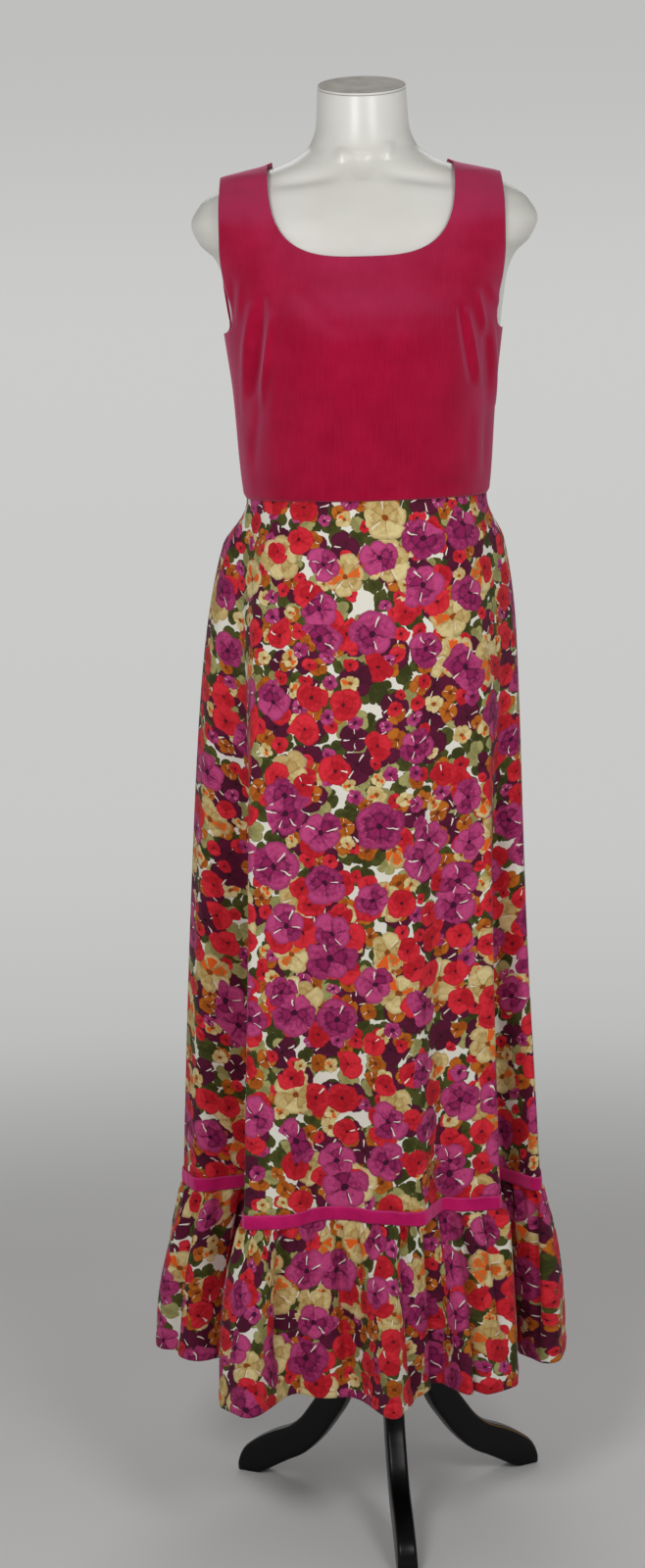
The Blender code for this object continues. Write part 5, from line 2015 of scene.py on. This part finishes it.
@dataclass
class Stand:
    """Base plate, pole, hub and three curved legs."""

    paint: bpy.types.Material
    steel: bpy.types.Material
    leg_thick: float = 22.0
    leg_rows: int = 60
    leg_turns: int = 40
    squareness: float = 0.30
    worn_leg: str = "leg_right_curved"
    worn_below: float = 125.0
    turned_steps: int = 96
    eased: float = 1.2
    sharp_from: float = math.radians(30)

    # Radius and height of each point of the turned pieces' outlines, from the top down
    BASE_PROFILE = ((58, 859.7), (60.5, 858.9), (62, 856.5), (62, 844.5), (61, 842.4), (59, 841.7))
    POLE_PROFILE = ((13, 841.4), (13, 262.3))
    HUB_PROFILE = (
        (20, 262), (23.5, 260.8), (26, 257), (26, 245), (25, 243.5), (25, 240), (26, 238.5),
        (26, 152), (25, 150.5), (25, 147), (26, 145.5), (26, 133), (24, 129.2), (21, 128),
    )

    def turned(
        self, name: str, profile: Sequence[tuple], material: bpy.types.Material, slot: str, node: str
    ) -> None:
        """Turns a profile round the pole's axis.

        Args:
            name: Name of the piece.
            profile: Radius and height of its points, in millimetres, from the top down.
            material: Its finish.
            slot: Its slot in the record.
            node: The CAD node that it stands for.
        """
        bm = bmesh.new()
        line = [bm.verts.new((radius * MM, 0.0, z * MM)) for radius, z in profile]
        edges = [bm.edges.new(pair) for pair in zip(line, line[1:])]
        bmesh.ops.spin(
            bm,
            geom=line + edges,
            cent=(0, 0, 0),
            axis=(0, 0, 1),
            angle=math.tau,
            steps=self.turned_steps,
            use_merge=True,
        )
        bmesh.ops.remove_doubles(bm, verts=bm.verts, dist=WELD)
        bmesh.ops.holes_fill(bm, edges=[edge for edge in bm.edges if edge.is_boundary])
        bmesh.ops.translate(bm, verts=bm.verts, vec=AXIS)
        bmesh.ops.recalc_face_normals(bm, faces=bm.faces)
        edges = [edge for edge in bm.edges if edge.calc_face_angle(0.0) > self.sharp_from]
        bmesh.ops.bevel(
            bm,
            geom=edges,
            offset=self.eased * MM,
            segments=3,
            profile=0.5,
            affect="EDGES",
            material=-1,
            clamp_overlap=True,
        )
        bmesh.ops.remove_doubles(bm, verts=bm.verts, dist=WELD)
        piece = add_piece(name, bm, material)
        declare(piece, slot, node)

    def leg_grid(self, ahead: np.ndarray, beside: np.ndarray) -> np.ndarray:
        """Points of a leg's surface, with eased edges and thicker towards the foot.

        Args:
            ahead: Direction of the leg on the floor.
            beside: Direction across it.

        Returns:
            The grid, of which the last column is the first.
        """
        table = np.array(LEG_EDGES, float)
        steps = np.hypot(*np.diff((table[:, :2] + table[:, 2:]) / 2, axis=0).T)
        run = np.append(0.0, np.cumsum(steps))
        edges = Curve(run, table)(np.linspace(0, run[-1], self.leg_rows))
        turn = np.linspace(0, math.tau, self.leg_turns + 1)
        swing = np.sign(np.cos(turn)) * np.abs(np.cos(turn)) ** self.squareness
        thick = np.sign(np.sin(turn)) * np.abs(np.sin(turn)) ** self.squareness * self.leg_thick / 2
        middle = (edges[:, :2] + edges[:, 2:]) / 2
        half = (edges[:, :2] - edges[:, 2:]) / 2
        reach = middle[:, 0:1] + half[:, 0:1] * swing
        z = np.maximum(0.0, middle[:, 1:2] + half[:, 1:2] * swing)
        flat = reach[..., None] * ahead + np.broadcast_to(thick, reach.shape)[..., None] * beside
        points = np.concatenate([flat, z[..., None]], axis=-1)
        points[:, -1] = points[:, 0]
        return points

    def rubbed(self, mesh: bpy.types.Mesh, beside: np.ndarray) -> np.ndarray:
        """Wear along the upper edges near the foot.

        Args:
            mesh: The leg.
            beside: Direction across it.

        Returns:
            Wear at each point, from 0 to 1.
        """
        places = np.array([vertex.co for vertex in mesh.vertices])
        upper = np.array([vertex.normal.z for vertex in mesh.vertices])
        out = np.abs((places - AXIS)[:, :2] @ beside) / MM
        corner = ease((out - self.leg_thick / 2 + 2.4) / 1.0) * ease((upper - 0.2) / 0.2)
        return corner * ease((self.worn_below - places[:, 2] / MM) / 30)

    def leg(self, name: str, degrees: float, node: str) -> None:
        """Builds a flat curved leg.

        Args:
            name: Name of the piece.
            degrees: Its turn from straight ahead.
            node: The CAD node that it stands for.
        """
        angle = math.radians(degrees)
        ahead = np.array((math.sin(angle), -math.cos(angle)))
        beside = np.array((math.cos(angle), math.sin(angle)))
        points = self.leg_grid(ahead, beside)
        piece = mapped_grids(name, [Patch(points, even_cut(points))])
        close_ends(piece, sharp=False)
        piece.data.materials.append(self.paint)
        wear = piece.data.attributes.new("wear", "FLOAT", "POINT")
        wear.data.foreach_set("value", self.rubbed(piece.data, beside) * (name == self.worn_leg))
        declare(piece, "black_paint", node)

    def build(self) -> None:
        """Builds all six pieces."""
        self.turned("form_base_plate", self.BASE_PROFILE, self.paint, "black_paint", "form_base")
        self.turned("pole_tube", self.POLE_PROFILE, self.steel, "pole_steel", "pole")
        self.turned("hub_block", self.HUB_PROFILE, self.paint, "black_paint", "hub")
        self.leg("leg_front_curved", 4.0, "leg_front")
        self.leg("leg_right_curved", 120.0, "leg_right")
        self.leg("leg_left_curved", -120.0, "leg_left")


@dataclass
class BackZip:
    """Zip at the centre back: tape, coil and the metal slider and pull of the frame."""

    tape: bpy.types.Material
    metal: bpy.types.Material
    bodice: BodiceShape
    skirt: SkirtShape
    top: float = 1443.0
    end: float = 988.0
    rows: int = 200
    columns: int = 5
    tape_half: float = 2.2
    tape_wall: float = 0.5
    set_in: float = 0.5
    pitch: float = 1.5
    tooth: tuple = (2.0, 0.7, 0.8)
    tooth_swing: float = 0.35

    def line(self, z: np.ndarray) -> np.ndarray:
        """Depth of the centre back.

        Args:
            z: Heights.

        Returns:
            Distance behind the pole's axis at each height.
        """
        on_bodice = self.bodice.sections(z)[:, 2]
        on_skirt = self.skirt.skirt(np.zeros(z.shape), np.minimum(z, WAIST_Z))[:, 1]
        return np.where(z >= WAIST_Z, on_bodice, on_skirt)

    def add_teeth(self, mesh: bpy.types.Mesh) -> None:
        """Adds the teeth, which swing to the left and right in turn.

        Args:
            mesh: The tape.
        """
        bm = bmesh.new()
        bm.from_mesh(mesh)
        heights = np.arange(self.top - 3, self.end + 2, -self.pitch)
        for index, (height, at) in enumerate(zip(heights, self.line(heights))):
            tooth = bmesh.ops.create_cube(bm, size=1.0)["verts"]
            bmesh.ops.scale(bm, verts=tooth, vec=Vector(self.tooth) * MM)
            swing = self.tooth_swing if index % 2 else -self.tooth_swing
            bmesh.ops.translate(bm, verts=tooth, vec=Vector((swing, at - 0.1, height)) * MM + Vector(AXIS))
        bm.to_mesh(mesh)
        bm.free()

    def build(self) -> bpy.types.Object:
        """Builds the tape with its coil, and finishes the slider and the pull.

        Returns:
            The tape.
        """
        z = np.linspace(self.top, self.end, self.rows)
        grid_x, grid_z = np.meshgrid(np.linspace(-self.tape_half, self.tape_half, self.columns), z)
        depth = np.broadcast_to(self.line(z)[:, None], grid_x.shape) - self.set_in
        points = np.stack([grid_x, depth, grid_z], axis=-1)
        cut = np.stack([grid_x * MM, grid_z * MM], axis=-1)
        piece = mapped_grids("zip_tape_and_coil", [Patch(points, cut)])
        self.add_teeth(piece.data)
        finish_sheet(piece, self.tape, self.tape_wall, "zip_tape", "zip_chain")
        for name in ("zip_slider", "zip_pull"):
            for entry in bpy.data.objects[name].material_slots:
                entry.material = self.metal
        return piece


@dataclass
class Studio:
    """Pale floor that fades into an even surround, softboxes, and the camera of the photograph."""

    paper: bpy.types.Material
    floor_radius: float = 3.0
    aim: tuple = (0.0, 0.0, 1.25)
    eye: tuple = (-0.058, -3.0, 1.367)
    focal: float = 64.28
    sensor: float = 36.0
    pitch: float = 10.16
    roll: float = -1.365

    # Height of a direction, from -1 straight down to 1 straight up, and the surround's light there
    SURROUND = (
        (-1.0, 0.42),
        (-0.50, 0.46),
        (-0.34, 0.44),
        (-0.18, 0.58),
        (-0.02, 0.60),
        (0.09, 0.52),
        (0.35, 0.26),
        (1.0, 0.18),
    )

    # Name, middle, size and watts of each softbox
    SOFTBOXES = (
        ("softbox_left", (-0.55, -1.70, 1.70), (0.50, 0.6), 12.0),
        ("softbox_right", (0.75, -1.65, 1.70), (0.50, 0.6), 9.0),
        ("softbox_behind", (0.0, 1.90, 2.60), (1.80, 1.0), 9.0),
    )

    def floor(self) -> None:
        """Round floor."""
        bm = bmesh.new()
        bmesh.ops.create_circle(bm, cap_ends=True, segments=96, radius=self.floor_radius)
        add_piece("studio_floor", bm, self.paper)

    def softbox(self, name: str, place: Sequence[float], size: Sequence[float], power: float) -> None:
        """Hangs a softbox that faces the chest.

        Args:
            name: Name of the light.
            place: Its middle.
            size: Width and height.
            power: Watts.
        """
        light = bpy.data.lights.new(name, "AREA")
        light.shape = "RECTANGLE"
        light.size, light.size_y = size
        light.energy = power
        made = bpy.data.objects.new(name, light)
        made.visible_camera = False
        aim = Vector(self.aim) - Vector(place)
        made.matrix_world = Matrix.Translation(place) @ aim.to_track_quat("-Z", "Y").to_matrix().to_4x4()
        bpy.context.collection.objects.link(made)

    def surround(self) -> None:
        """Lights the object evenly from all round, brighter towards the horizon."""
        board = Board(bpy.data.worlds.new("surround"), "Background")
        upward = board.split(board.wire(board.node("ShaderNodeTexCoord"), "Generated"))[2]
        stops = [((height + 1) / 2, (light, light, light * 0.99)) for height, light in self.SURROUND]
        ramp = board.node("ShaderNodeValToRGB", {"stops": stops}, {"Fac": upward * 0.5 + 0.5})
        bpy.context.scene.world = board.finish(Color=board.wire(ramp, "Color"))

    def camera(self) -> None:
        """Sets up the camera at the photograph's place."""
        lens = bpy.data.cameras.new("camera")
        lens.lens = self.focal
        lens.sensor_width = self.sensor
        made = bpy.data.objects.new("camera", lens)
        nod = Matrix.Rotation(math.radians(90 - self.pitch), 4, "X")
        roll = Matrix.Rotation(math.radians(self.roll), 4, "Z")
        made.matrix_world = Matrix.Translation(Vector(AXIS) + Vector(self.eye)) @ nod @ roll
        bpy.context.collection.objects.link(made)
        bpy.context.scene.camera = made

    def build(self) -> None:
        """Sets up everything round the object."""
        self.floor()
        for name, place, size, power in self.SOFTBOXES:
            self.softbox(name, place, size, power)
        self.surround()
        bpy.context.scene.view_settings.view_transform = "Standard"
        self.camera()


def main() -> None:
    """Builds the object in order."""
    logging.basicConfig(level=logging.INFO, format="%(message)s")
    Studio(StudioPaper().build()).build()
    paint = BlackPaint().build()
    steel = BrushedMetal("pole_steel_brushed", tone("A8A8AA"), tone("77777A"), 0.22).build()
    DressForm(GlossyShell().build(), PlainCap().build()).build()
    Stand(paint, steel).build()
    bodice = Bodice(Velveteen("bodice_velveteen").build())
    skirt = Skirt(
        PrintedCotton().build(),
        # Ribbon velvet, with the same painted sheen as the bodice.
        Velveteen(
            "ribbon_velvet_pile",
            deep=tone("AC1056"),
            pile=tone("C81C68"),
            brushed=tone("DE528E"),
            glow=(1.0, 0.4, 0.75),
            wale=0.0011,
            streak=0.004,
        ).build(),
    )
    bodice_front, bodice_left, bodice_right = bodice.build()
    skirt_front, skirt_left, skirt_right, flounce_front, flounce_back, ribbon = skirt.build()
    metal = BrushedMetal("zip_metal_brushed", tone("B8B4AC"), tone("8C8880"), 0.25).build()
    zip_tape = BackZip(ZipTape().build(), metal, bodice.shape, skirt.shape).build()


if __name__ == "__main__":
    main()
